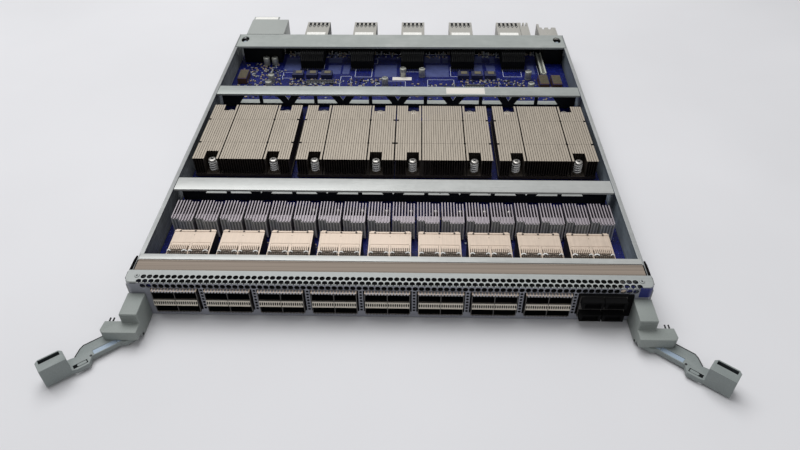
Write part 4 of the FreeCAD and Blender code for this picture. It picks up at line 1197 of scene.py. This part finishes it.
@dataclass
class MainSinks:
    """Four sinks of stacked folded fins, notched for sprung screws."""

    count: int = 4
    base_top: float = 12.4
    block: float = 44.5
    slot: float = 1.0
    fins: tuple[int, int, int] = (11, 18, 11)
    gap: float = 0.42
    blade: float = 0.6
    tab: float = 0.5
    notch: float = 11.0
    depth: float = 14.0
    rear_relief: float = 2.0
    offset: float = 32.0
    seams: Span = (213.7, 258.9)
    seam: float = 0.24
    mark: tuple[float, float, float] = (2.2, 2.8, 0.42)
    screw_radius: float = 4.2
    spring: tuple[float, float, float] = (3.6, 0.8, 4.0)
    washer: Span = (4.4, 0.6)

    def __post_init__(self) -> None:
        """Takes the sinks' places and reach from the frame."""
        self.low, self.high = limits("main_heatsink_1")
        self.width = self.high[0] - self.low[0]
        self.screw_top = limits("spring_screws")[1][2]
        self.rows = (self.low[1] + 7.0, self.high[1] - 4.7)

    def bands(self) -> list[tuple[float, float, int]]:
        """The X limits and fin count of a sink's three blocks, about its middle."""
        half, inner = self.width / 2, self.block / 2
        cuts = ((-half, -inner - self.slot), (-inner, inner), (inner + self.slot, half))
        return [(a, b, n) for (a, b), n in zip(cuts, self.fins)]

    def build(self) -> None:
        """Makes each sink's plate, blades and top tabs."""
        x = np.concatenate([middles(*band) for band in self.bands()])
        wide = np.concatenate([np.full(n, (b - a) / n) for a, b, n in self.bands()]) - self.gap
        notched = np.abs(np.abs(x) - self.offset) < self.notch / 2
        front, rear, top = self.low[1], self.high[1], self.high[2]
        y0 = np.where(notched, front + self.depth, front)
        y1 = np.where(notched, rear - self.depth + self.rear_relief, rear)
        half, seam = self.blade / 2, self.seam / 2
        blades = boxes(rows(x - half, y0, self.base_top), rows(x + half, y1, top - half))
        cuts = (0.0, *self.seams, math.inf)
        tabs = reduce(add, (boxes(rows(x - wide / 2, np.maximum(y0, a + seam), top - self.tab),
                                  rows(x + wide / 2, np.minimum(y1, b - seam), top))
                            for a, b in zip(cuts, cuts[1:])))
        edges = (1.1 - self.width / 2, (self.block + self.slot) / 2, self.width / 2 - 1.1)
        marks = blocks(every(edges, self.seams, top - 0.35), self.mark)
        plate = slabs(0.0, self.width, (front, rear), (self.low[2], self.base_top))
        under = slabs([(a + b) / 2 for a, b, _ in self.bands()], self.block / 2,
                      (front + self.depth + 2, rear - self.depth - 2),
                      (self.base_top, top - 1.2))
        for i in range(1, self.count + 1):
            low, high = limits(f"main_heatsink_{i}")
            place = ((low[0] + high[0]) / 2, 0.0, 0.0)
            # the fins' sides, the filler under their tops and the base plate are painted near black
            # as shade
            made = piece(f"main_sink_tops_{i}", tabs.at(place), Finishes.STACK_SHADE,
                         replaces=(f"main_heatsink_{i}",))
            paint(made, Finishes.STACK, lambda at, n: n[:, 2] > 0.5)
            piece(f"main_sink_blades_{i}", blades.at(place) + under.at(place),
                  Finishes.STACK_SHADE)
            piece(f"main_sink_plate_{i}", plate.at(place), Finishes.STACK_PLATE_SHADE)
            piece(f"main_sink_marks_{i}", marks.at(place), Finishes.FOAM_AND_SHADE)
        self.screws()

    def screws(self) -> None:
        """Sprung screws: a domed head with a cross recess on a shank, in a coil spring."""
        centres = [sum(limits(f"main_heatsink_{i}"))[0] / 2 for i in range(1, self.count + 1)]
        places = every(np.add.outer(centres, (-self.offset, self.offset)).ravel(), self.rows, 0)
        head, wide, foot = self.screw_top, self.screw_radius, self.base_top
        profile = [(0.0, head - 0.1), (2.6, head), (wide - 0.4, head - 0.4), (wide, head - 1.2),
                   (wide - 0.3, head - 2.2), (1.6, head - 2.4), (1.5, foot), (0.0, foot)]
        piece("spring_screw_heads", lathe(profile, 16).at(places), Finishes.STEEL,
              replaces=("spring_screws",), smooth=True)
        cross = boxes([(-2.2, -0.5, head - 0.5), (-0.5, -2.2, head - 0.5)],
                      [(2.2, 0.5, head + 0.03), (0.5, 2.2, head + 0.03)])
        # the cross recess is painted dark as shade
        piece("screw_recesses", cross.turned(40).at(places), Finishes.DARK)
        radius, gauge, turns = self.spring
        spring = coil(radius, gauge, foot + gauge, head - 2.9, turns)
        # the spring is painted near white as a highlight
        piece("screw_springs", spring.at(places), Finishes.HOOK, smooth=True)
        piece("screw_washers", disc(*self.washer, 16).at(places + (0, 0, foot)), Finishes.WIRE)


# ---------------------------------------------------------------- tray, bars and board

@dataclass
class Tray:
    """The pan, rails and crossbars."""

    strip: float = 4.6
    # place and height of the dark strip painted as shade along the first web
    bar_shade_place: float = 3.5
    bar_shade_height: float = 8.6
    gauge: float = 1.2
    lip: float = 2.4
    cheek: float = 12.0
    hole: Span = (206.0, 453.0)
    cell: Span = (14.0, 22.0)
    hole_radius: float = 5.3
    set_back: float = 1.4
    sticker_x: Span = (57.0, 102.0)
    sticker_y: Span = (313.0, 326.8)

    def build(self, frame: dict) -> None:
        """Softens the folded sheets, darkens their shaded faces and adds earth strips."""
        dress(frame, Finishes.RAIL, "base_pan", "board_standoffs")
        # the rails' inner faces take the darker copies, painted as shade
        for side, inner, sign in (("left", Finishes.SHADE, 1.0), ("right", Finishes.INSIDE, -1.0)):
            rail = softened(frame, f"side_rail_{side}", Finishes.RAIL, bevel=0.25)
            paint(rail, inner, lambda at, n: sign * n[:, 0] > 0.5)
        for node, finish in (("mid_crossbar", Finishes.BAR),
                             ("rear_mid_crossbar", Finishes.REAR_BAR)):
            bar = softened(frame, node, finish, bevel=0.25)
            top = limits(node)[1][2]
            # the bars' upright webs below the top are painted near black as shade
            paint(bar, Finishes.WEB_SHADE,
                  lambda at, n: (np.abs(n[:, 1]) > 0.5) & (at[:, 2] < top - 1.6))
        self.earth()
        self.cover()
        self.sticker()

    def earth(self) -> None:
        """Tinned strips on the board behind the bars' feet, and a dark strip painted as shade on
        the first web.
        """
        bars = [limits(node) for node in ("mid_crossbar", "rear_mid_crossbar")]
        strips = [boxes((low[0] + 1, high[1], BOARD_TOP),
                        (high[0] - 1, high[1] + self.strip, BOARD_TOP + 0.08))
                  for low, high in bars]
        piece("earth_strips", reduce(add, strips), Finishes.REAR_BAR)
        low, high = bars[0]
        web = (low[1] + high[1]) / 2 + self.bar_shade_place
        # a dark strip painted as shade low along the first web
        seal = boxes((low[0] + 3, web - 0.7, BOARD_TOP + 0.2),
                     (high[0] - 3, web - 0.1, BOARD_TOP + self.bar_shade_height))
        piece("mid_bar_shade_strip", seal, Finishes.WEB_SHADE)

    def cover(self) -> None:
        """The rear cover bar: a flat top with an eight-sided hole near each end.

        The top is a sheet with holed cells, and the lips and cheeks are boxes.
        """
        low, high = limits("rear_cover_bar")
        low = low + (0.0, self.set_back, 0.0)
        hole, cell, gauge = self.hole, self.cell, self.gauge
        x = hole[0] - cell[0] / 2, hole[0] + cell[0] / 2
        y = hole[1] - cell[1] / 2, hole[1] + cell[1] / 2
        sheet = Sheet()
        sheet.holes([(-hole[0], hole[1]), hole], *cell, self.hole_radius, 8, tall=1.6)
        cuts = (low[1], *y, high[1])
        sheet.plain(np.array((-x[0], x[0])), np.array(cuts))
        for side in (-1, 1):
            edge = np.array(sorted((side * x[0], side * x[1])))
            sheet.plain(edge, np.array(cuts[:2]))
            sheet.plain(edge, np.array(cuts[2:]))
            sheet.plain(np.array(sorted((side * x[1], side * high[0]))), np.array(cuts))
        top = sheet.shape(lambda x, s, skin: rows(x, s, high[2] - gauge * skin))
        under, lip, cheek = high[2] - gauge, high[2] - self.lip, high[2] - self.cheek
        front, rear = low[1] + gauge, high[1] - gauge
        folds = boxes([(low[0], low[1], lip), (low[0], rear, lip), (low[0], front, cheek),
                       (high[0] - gauge, front, cheek)],
                      [(high[0], front, under), (high[0], high[1], under),
                       (low[0] + gauge, rear, under), (high[0], rear, under)])
        piece("cover_bar_sheet", top + folds, Finishes.REAR_BAR, replaces=("rear_cover_bar",))
        spots = every((-hole[0], hole[0]), hole[1], under - 3.0)
        piece("cover_bar_plates", blocks(spots, (13.4, 21.0, 0.8)), Finishes.FOAM_AND_SHADE)
        bolt = lathe([(0.0, 0.0), (2.6, 0.0), (2.6, 1.4), (1.8, 1.7), (0.0, 0.9)], 6)
        # the bolts under the cover bar take the inside painted shade
        piece("cover_bar_bolts", bolt.at(spots + (0.0, -2.5, 0.8)), Finishes.INSIDE)

    def sticker(self) -> None:
        """A blank paper label on the bar behind the main sinks."""
        top = limits("rear_mid_crossbar")[1][2]
        (x0, x1), (y0, y1) = self.sticker_x, self.sticker_y
        piece("bar_sticker", boxes((x0, y0, top), (x1, y1, top + 0.12)), Finishes.LABEL)


@dataclass
class MainBoard:
    """The lacquered board and what is soldered on it."""

    seed: int = 7
    modules: tuple[float, ...] = (-131.0, -113.0, -94.0, 82.0, 99.5, 116.5)
    chokes: Outline = ((-200.0, 394.0), (182.0, 383.0), (198.0, 383.0))
    cans: Outline = (
        (-163.0, 388.0), (-163.5, 370.0), (-177.0, 434.0), (-166.0, 434.0), (-17.8, 380.5),
        (4.5, 405.5), (29.0, 404.5), (164.5, 399.0), (164.5, 369.0))
    areas: Areas = (
        (-153, -131, 418, 453), (-96, -78, 441, 462), (-94.5, -77.5, 410, 433.5),
        (-75, -66, 410, 433.5), (-32.5, -4, 402, 434), (32.5, 53.5, 441, 462),
        (56.5, 64, 441, 462), (34, 64, 403, 435), (98.5, 109, 441.5, 462),
        (119.5, 126, 441.5, 462), (97, 108.5, 410, 436), (113.5, 125, 410.5, 434.5),
        (167, 176, 411, 435))
    zones: tuple[tuple[float, float, float, float, int], ...] = (
        (-205, -150, 365, 420, 150), (-140, -78, 366, 396, 170), (-78, -20, 368, 398, 80),
        (-20, 75, 366, 385, 45), (78, 160, 368, 396, 170), (165, 205, 366, 400, 60),
        (-150, 190, 455, 462, 160), (-205, -160, 400, 436, 80), (-205, 205, 346, 362, 120),
        (-205, 205, 119, 128, 60), (-205, 205, 160, 181, 90), (-205, 205, 75, 87, 80),
        (-205, 205, 292, 309, 90))
    frames: Areas = (
        (-58, -36, 402, 432), (-122, -100, 412, 436), (134, 158, 404, 434), (-30, 8, 372, 392),
        (36, 70, 374, 396), (180, 186, 408, 436), (-76, -62, 372, 404), (-152, -134, 398, 414),
        (140, 160, 438, 452), (-46, -30, 438, 452), (66, 78, 404, 430), (6, 30, 416, 434))
    module_y: float = 402.0
    label: tuple[Span, Span] = ((-9.0, 15.7), (394.0, 402.0))
    combs: tuple[Span, Span] = ((-118.0, -82.0), (84.0, 108.0))
    comb_y: Span = (383.0, 373.0)
    can: Outline = (
        (0.0, 0.0), (4.1, 0.0), (4.1, 1.2), (3.7, 1.6), (4.1, 2.1), (4.1, 10.4), (3.8, 11.0),
        (3.2, 10.8), (0.0, 10.8))

    def build(self, frame: dict) -> None:
        """Lacquers the board and sets out planes, small parts and the rear bay's parts."""
        dress(frame, Finishes.BOARD, "main_board")
        self.planes()
        self.small_parts()
        self.power_parts()
        self.capacitors()
        self.ribbon(frame)

    def planes(self) -> None:
        """Flat copper areas under the lacquer, printed frames and a blank bar label."""
        x0, x1, y0, y1 = np.array(self.areas, float).T
        piece("board_planes", boxes(rows(x0, y0, BOARD_TOP), rows(x1, y1, BOARD_TOP + 0.06)),
              Finishes.PLANE)
        strokes = (frame_lines((x0, x1), (y0, y1), BOARD_TOP, 0.5)
                   for x0, x1, y0, y1 in self.frames)
        piece("board_print", reduce(add, strokes), Finishes.SILK)
        (x0, x1), (y0, y1) = self.label
        piece("board_label", boxes((x0, y0, BOARD_TOP), (x1, y1, BOARD_TOP + 0.12)),
              Finishes.LABEL)

    def small_parts(self) -> None:
        """Rows and clusters of chip parts, strewn with a fixed seed."""
        rng = np.random.default_rng(self.seed)
        shares = {Finishes.CERAMIC: 0.35, Finishes.SOLDER: 0.3, Finishes.CHIP: 0.35}
        sets: dict[Finishes, list[Shape]] = {finish: [] for finish in shares}
        for x0, x1, y0, y1, count in self.zones:
            for finish, share in shares.items():
                n = int(count * share)
                at = rows(rng.uniform(x0, x1, n), rng.uniform(y0, y1, n), BOARD_TOP)
                turn = rng.random(n) < 0.5
                long, wide = rng.uniform(1.2, 3.6, n), rng.uniform(0.8, 1.9, n)
                size = rows(np.where(turn, long, wide), np.where(turn, wide, long),
                            rng.uniform(0.5, 1.6, n))
                sets[finish].append(blocks(at, size))
        for finish, shapes in sets.items():
            piece(f"small_parts_{finish.name.lower()}", reduce(add, shapes), finish)

    def power_parts(self) -> None:
        """Module shells with pale plates, comb leads beside them, and wound chokes."""
        x, y, z = np.array(self.modules), self.module_y, BOARD_TOP
        piece("module_shells", slabs(x, 14.1, (y - 6.05, y + 6.05), (z, z + 6.05)),
              Finishes.POTTING, bevel=0.2)
        piece("module_plates", slabs(x + 1.0, 8.0, (y - 2.0, y + 4.6), (z + 6.0, z + 6.6)),
              Finishes.CORE, bevel=0.2)
        combs = np.concatenate([np.arange(*reach, 2.0) for reach in self.combs])
        far = np.where(combs < 0, *self.comb_y)
        piece("comb_leads", boxes(rows(combs - 0.5, far, z), rows(combs + 0.5, far + 7.0, z + 2.6)),
              Finishes.SOLDER)
        bodies = boxes([(-118.6, 384.6, z), (83.4, 374.6, z)],
                       [(-83.4, 388.4, z + 3.4), (107.2, 378.4, z + 3.4)])
        piece("comb_bodies", bodies, Finishes.CHIP, bevel=0.2)
        chokes = rows(*np.transpose(self.chokes), z)
        piece("choke_shells", blocks(chokes, (12.2, 24.2, 8.1)), Finishes.CHOKE, bevel=0.8)
        turns = [(x, y + k, z + 8.0) for x, y in self.chokes for k in np.arange(-8.8, 9.0, 2.2)]
        piece("choke_windings", blocks(turns, (11.0, 1.3, 0.6)), Finishes.CORE, bevel=0.25)

    def capacitors(self) -> None:
        """Upright capacitors with a crimped shoulder, a bright top and a dark vent mark."""
        places = rows(*np.transpose(self.cans), BOARD_TOP)
        piece("capacitor_cans", lathe(self.can, 20).at(places), Finishes.CAN,
              replaces=("capacitors",), smooth=True)
        mark = boxes((-3.0, 0.8, 10.75), (3.0, 2.6, 10.9))
        piece("capacitor_marks", mark.at(places), Finishes.BLACK)

    def ribbon(self, frame: dict) -> None:
        """The long header beside the power connector, with dark contacts along one side."""
        softened(frame, "ribbon_connector", Finishes.IVORY, bevel=0.2)
        low, high = limits("ribbon_connector")
        y = np.arange(low[1] + 2.0, high[1] - 1.0, 2.2)
        pins = boxes(every(low[0] - 1.0, y - 0.5, BOARD_TOP), every(low[0], y + 0.5, high[2] - 2))
        slots = boxes(every(low[0] + 1.8, y - 0.5, high[2] - 1.1),
                      every(high[0] - 1.8, y + 0.5, high[2] - 0.9))
        piece("ribbon_contacts", pins + slots, Finishes.CHIP)


# ---------------------------------------------------------------- rear and ejectors

@dataclass
class Backplane:
    """Connectors at the rear edge."""

    centres: tuple[float, ...] = (-115.1, -49.4, 16.3, 82.0, 147.7)
    width: float = 31.5
    slots: int = 5
    parting: float = 469.0
    band_y: Span = (478.6, 486.4)
    # reach and top of the black strip painted as shade along the rear edge
    rear_shade_x: Span = (-157.0, 188.0)
    rear_shade_top: float = 22.0
    seed: int = 3

    def build(self, frame: dict) -> None:
        """Softens the mouldings and adds what their openings show."""
        dress(frame, Finishes.BLACK, "connector_wafers")
        shrouds = softened(frame, "connector_shrouds", Finishes.SHROUD, bevel=0.3)
        # faces turned to the right are painted darker as shade
        paint(shrouds, Finishes.SHROUD_SHADE, lambda at, n: n[:, 0] > 0.5)
        self.cores()
        self.wafers()
        for node, finish in (("guide_module", Finishes.GUIDE),
                             ("power_connector", Finishes.SHROUD)):
            made = softened(frame, node, finish, bevel=0.3, split=self.parting)
            paint(made, Finishes.BLACK, lambda at, n: at[:, 1] < self.parting)
        low, high = limits("guide_module")
        lip = boxes((low[0] + 3.0, high[1] - 8.6, high[2]),
                    (high[0] - 15.5, high[1] - 1.4, high[2] + 0.1))
        piece("guide_lip_band", lip, Finishes.GLOSS)

    def cores(self) -> None:
        """Dark blades in the shrouds' slots, marks on their tops in the shrouds' painted shade, and
        a pale latch band.
        """
        x = np.array(self.centres)
        low, high = limits("connector_shrouds")
        pitch = self.width / (self.slots + 0.5)
        slots = np.add.outer(x, -self.width / 2 + pitch * (0.75 + np.arange(self.slots)))
        blades = slabs(slots.ravel(), pitch / 2 - 0.1, (high[1] - 10.9, high[1] - 0.6),
                       (low[2] + 2.0, high[2] - 0.4))
        piece("shroud_blades", blades, Finishes.BLACK)
        stroke = boxes((-0.5, -3.4, 0.0), (0.5, 3.4, 0.08))
        pair = stroke.turned(20).at((-1.1, 0, 0)) + stroke.turned(-20).at((1.1, 0, 0))
        marks = pair.at(every(slots.ravel(), high[1] - 13.6, high[2]))
        piece("shroud_marks", marks, Finishes.SHROUD_SHADE)
        piece("shroud_bands", slabs(x - 0.6, 25.0, self.band_y, (high[2], high[2] + 0.12)),
              Finishes.GLOSS)

    def wafers(self) -> None:
        """Upright ribs on the wafers' fronts, their comb of leads and a black strip painted as
        shade along the rear edge.
        """
        x = np.array(self.centres)
        low, high = limits("connector_wafers")
        ribs = np.add.outer(x, middles(-self.width / 2, self.width / 2, 13)).ravel()
        rib = slabs(ribs, 0.9, (low[1] - 0.5, low[1]), (BOARD_TOP, high[2] - 0.6))
        edge = slabs(ribs, 1.3, (low[1] + 1.0, high[1] - 14.0), (high[2], high[2] + 0.3))
        piece("wafer_ribs", rib + edge, Finishes.BLACK)
        teeth = slabs(ribs, 1.0, (low[1] - 7.0, low[1] - 0.5), (BOARD_TOP, BOARD_TOP + 1.6))
        piece("wafer_leads", teeth, Finishes.DARK)
        # a black strip painted as shade along the board's rear edge
        rear, (x0, x1) = limits("main_board")[1][1], self.rear_shade_x
        strip = boxes((x0, rear + 0.1, BOARD_TOP), (x1, rear + 0.8, self.rear_shade_top))
        piece("rear_shade_strip", strip, Finishes.BLACK)
        self.edge_row(rear)

    def edge_row(self, rear: float) -> None:
        """Small upright parts along the board's rear edge, of uneven height."""
        rng = np.random.default_rng(self.seed)
        x = np.arange(-152.0, 184.0, 2.1)
        for finish, share in ((Finishes.SOLDER, 0.55), (Finishes.CERAMIC, 0.3),
                              (Finishes.LABEL, 0.15)):
            at = x[rng.random(len(x)) < share]
            n = len(at)
            places = rows(at, rear - 1.8 + rng.uniform(-0.6, 0.6, n), BOARD_TOP)
            sizes = rows(rng.uniform(1.0, 1.9, n), rng.uniform(0.8, 1.6, n),
                         rng.uniform(1.5, 5.5, n))
            piece(f"edge_parts_{finish.name.lower()}", blocks(places, sizes), finish)


@dataclass
class Ejector:
    """One housing with its lever and latch, at one end of the panel.

    Places on the open lever are (u, v) rows: u runs along the arm from the pin, and v towards the
    other lever.
    """

    frame: dict
    side: str
    swing: float = 141.0
    lever_top: float = 6.0
    recess: float = 0.6
    block_front: float = -24.2
    slots: tuple[tuple[float, ...], ...] = (
        (47.6, 67.0, -5.3, -1.3, 20.3), (34.0, 45.5, 1.6, 5.8, 5.9))
    slot_floor: float = 1.8
    label_v: Span = (0.5, -4.0)
    label_u: Outline = ((9.2, 27.8), (3.0, 8.8))
    # the path of the dark line painted as shadow along the lever's far edge
    groove: Outline = (
        (3.0, -13.4), (31.9, -13.4), (35.2, -11.5), (41.2, -5.6))
    eye: Span = (30.4, 0.6)
    latch_ends: Outline = ((40.9, 3.7), (36.1, 3.7))
    latch_radius: float = 1.45
    rib_x: Span = (202.4, 214.4)
    rib_z: tuple[float, float, float] = (17.4, 24.6, 1.7)
    stud: tuple[float, float, float] = (224.8, 2.0, 13.2)
    stud_length: float = 5.4
    stud_pitch: float = 3.0
    pin_x: Span = (200.3, 201.6)

    def __post_init__(self) -> None:
        """Takes the lever's pin from the record, and the side's sign and bodies."""
        self.sign = 1.0 if self.side == "right" else -1.0
        self.body = Body(f"lever_{self.side}")
        joints = self.frame["record"]["behaviour"]["joints"]
        swing = next(j for j in joints if j["name"] == f"lever_{self.side}_swing")
        self.pivot = np.array(swing["pos_m"][:2]) / MM
        angle = math.radians(self.swing)
        self.turn = math.cos(angle), math.sin(angle)

    def build(self) -> None:
        """Softens the casting and the lever, each on its own body, and adds their details."""
        softened(self.frame, f"ejector_housing_{self.side}", Finishes.CASTING, bevel=0.6)
        arm = softened(self.frame, f"ejector_lever_{self.side}", Finishes.LEVER, self.body, 0.5)
        paint(arm, Finishes.RECESS, self.in_slot)
        self.housing_marks()
        self.lever_marks()
        self.latch()

    def placed(self, along: Array) -> Array:
        """Turns (u, v) rows into X and Y, by the swing's angle from the panel."""
        (c, s), along = self.turn, np.asarray(along, float)
        u, v = along[..., 0], along[..., 1]
        x, y = -u * c - v * s, v * c - u * s
        return np.stack((self.pivot[0] + self.sign * x, self.pivot[1] + y), -1)

    def in_slot(self, at: Array, n: Array) -> Array:
        """Turns points back into (u, v) and tests them against the grip's and latch's slots."""
        c, s = self.turn
        x, y = self.sign * (at[:, 0] - self.pivot[0]), at[:, 1] - self.pivot[1]
        u, v = -c * x - s * y, c * y - s * x
        hits = [(u > u0) & (u < u1) & (v > v0) & (v < v1) & (at[:, 2] < top)
                for u0, u1, v0, v1, top in self.slots]
        return (hits[0] | hits[1]) & (at[:, 2] > self.slot_floor)

    def lever_marks(self) -> None:
        """A blank label in the arm's recess, a dark line painted as shadow along its far edge, and
        an eye.
        """
        floor, (v0, v1) = self.lever_top - self.recess, self.label_v
        label = [risen(self.placed([(u0, v0), (u1, v0), (u1, v1), (u0, v1)]), *z)
                 for (u0, u1), z in zip(self.label_u, ((floor, floor + 0.2),
                                                       (self.lever_top, self.lever_top + 0.06)))]
        piece(f"lever_label_{self.side}", label[0] + label[1], Finishes.PALE_LABEL, self.body)
        path = rows(*self.placed(self.groove).T, self.lever_top - 0.1)
        eye = disc(1.1, 0.1, 10).at((*self.placed(self.eye), self.lever_top - 0.05))
        # a dark line painted as shadow along the far edge
        piece(f"lever_edge_shadow_and_eye_{self.side}", wire(path, (0.0, 0.0, 1.0), 0.5) + eye,
              Finishes.DARK, self.body)

    def latch(self) -> None:
        """The thumb latch: a rounded bar, half a circle at either end."""
        name = f"lever_latch_{self.side}"
        low, high = limits(name)
        t = np.linspace(-math.pi / 2, math.pi / 2, 6)
        end = np.stack((np.cos(t), np.sin(t)), 1) * self.latch_radius
        far, near = self.latch_ends
        pill = risen(self.placed(np.vstack((end + far, near - end))), low[2], high[2])
        piece(f"latch_bar_{self.side}", pill, Finishes.LEVER, Body(f"latch_{self.side}"),
              replaces=(name,), bevel=0.4)

    def housing_marks(self) -> None:
        """Ribs on the block's front, two studs behind the wing, and a pin at the cheek."""
        sign, front, up = self.sign, self.block_front, (0.0, 0.0, 1.0)
        z = np.arange(*self.rib_z)
        x0, x1 = sorted(sign * x for x in self.rib_x)
        ribs = boxes(every(x0, front - 0.35, z), every(x1, front, z + 0.7))
        piece(f"housing_ribs_{self.side}", ribs, Finishes.CASTING)
        x, y, z = sign * self.stud[0], front + self.stud[1], self.stud[2]
        stud = wire([(x, y, z), (x, y + self.stud_length, z)], up, 0.7, 8)
        pin = wire([(sign * x, -25.0, 3.5) for x in self.pin_x], up, 1.0, 8)
        piece(f"housing_studs_{self.side}",
              stud + stud.at((sign * self.stud_pitch, 0.0, 0.0)) + pin, Finishes.DARK)


# ---------------------------------------------------------------- studio

@dataclass
class Studio:
    """A pale floor, soft lamps and the camera."""

    position: tuple[float, float, float] = (22.64, -379.91, 433.21)
    pitch: float = 40.97
    yaw: float = -1.756
    roll: float = -0.583
    focal: float = 673.051
    sensor: float = 36.0
    width: int = 800

    def build(self) -> None:
        """Sets the stage."""
        self.floor()
        self.lamps()
        self.camera()
        bpy.context.scene.view_settings.view_transform = "Standard"

    def floor(self) -> None:
        """A wide floor of matt paper."""
        mesh = bpy.data.meshes.new("floor")
        mesh.from_pydata([(-6, -5, 0), (6, -5, 0), (6, 9, 0), (-6, 9, 0)], [], [(0, 1, 2, 3)])
        floor = bpy.data.objects.new("floor", mesh)
        bpy.context.scene.collection.objects.link(floor)
        floor.location = (0, 0, -0.6 * MM)
        paper = Finish("matt_paper_floor", "#D6D6D9", roughness=0.85, grain_mm=300.0, mottle=0.015,
                       bump=0.0)
        mesh.materials.append(paper.material())

    def lamps(self) -> None:
        """A large lamp overhead and behind, a weak one in front, and a pale world."""
        world = bpy.data.worlds.new("pale_room")
        bpy.context.scene.world = world
        world.use_nodes = True
        back = world.node_tree.nodes["Background"]
        back.inputs["Color"].default_value = linear("#EEEFF0")
        back.inputs["Strength"].default_value = 0.35
        for name, size, place, aim, power in (
                ("overhead", 1.7, (-0.35, 0.7, 1.8), (0, 0.2, 0), 36.0),
                ("front", 1.4, (0.6, -1.4, 1.3), (0, 0.1, 0), 4.5)):
            data = bpy.data.lights.new(name, "AREA")
            data.shape, data.size, data.energy = "SQUARE", size, power
            lamp = bpy.data.objects.new(name, data)
            lamp.location = place
            toward = np.array(aim) - np.array(place)
            lamp.rotation_euler = (math.acos(-toward[2] / np.linalg.norm(toward)), 0,
                                   math.atan2(toward[1], toward[0]) - math.pi / 2)
            bpy.context.scene.collection.objects.link(lamp)

    def camera(self) -> None:
        """Looks down from the front, level with the card's long axis."""
        data = bpy.data.cameras.new("camera")
        data.sensor_width, data.lens = self.sensor, self.focal * self.sensor / self.width
        data.clip_start, data.clip_end = 0.01, 50.0
        camera = bpy.data.objects.new("camera", data)
        camera.matrix_world = self.aim()
        bpy.context.scene.collection.objects.link(camera)
        bpy.context.scene.camera = camera

    def aim(self) -> Matrix:
        """Returns the camera's place and turn: back along its sight line, yawed and rolled."""
        p, yaw, roll = (math.radians(a) for a in (self.pitch, self.yaw, self.roll))
        forward = np.array((math.sin(yaw) * math.cos(p), math.cos(yaw) * math.cos(p),
                            -math.sin(p)))
        right = np.array((math.cos(yaw), -math.sin(yaw), 0.0))
        up = np.cross(right, forward)
        side = math.cos(roll) * right + math.sin(roll) * up
        top = -math.sin(roll) * right + math.cos(roll) * up
        turn = np.eye(4)
        turn[:3, 0], turn[:3, 1], turn[:3, 2] = side, top, -forward
        turn[:3, 3] = np.array(self.position) * MM
        return Matrix(turn.tolist())


def main() -> None:
    """Loads the frame and builds the card's looks in order."""
    logging.basicConfig(level=logging.INFO, format="%(message)s")
    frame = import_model()
    Studio().build()
    for part in (Tray(), FrontPanel(), PortBank(), MainBoard(), Backplane()):
        part.build(frame)
    for side in ("left", "right"):
        Ejector(frame, side).build()
    dress(frame, Finishes.STEEL, "lever_pivot_pins")
    LineSinks().build()
    MainSinks().build()


if __name__ == "__main__":
    main()
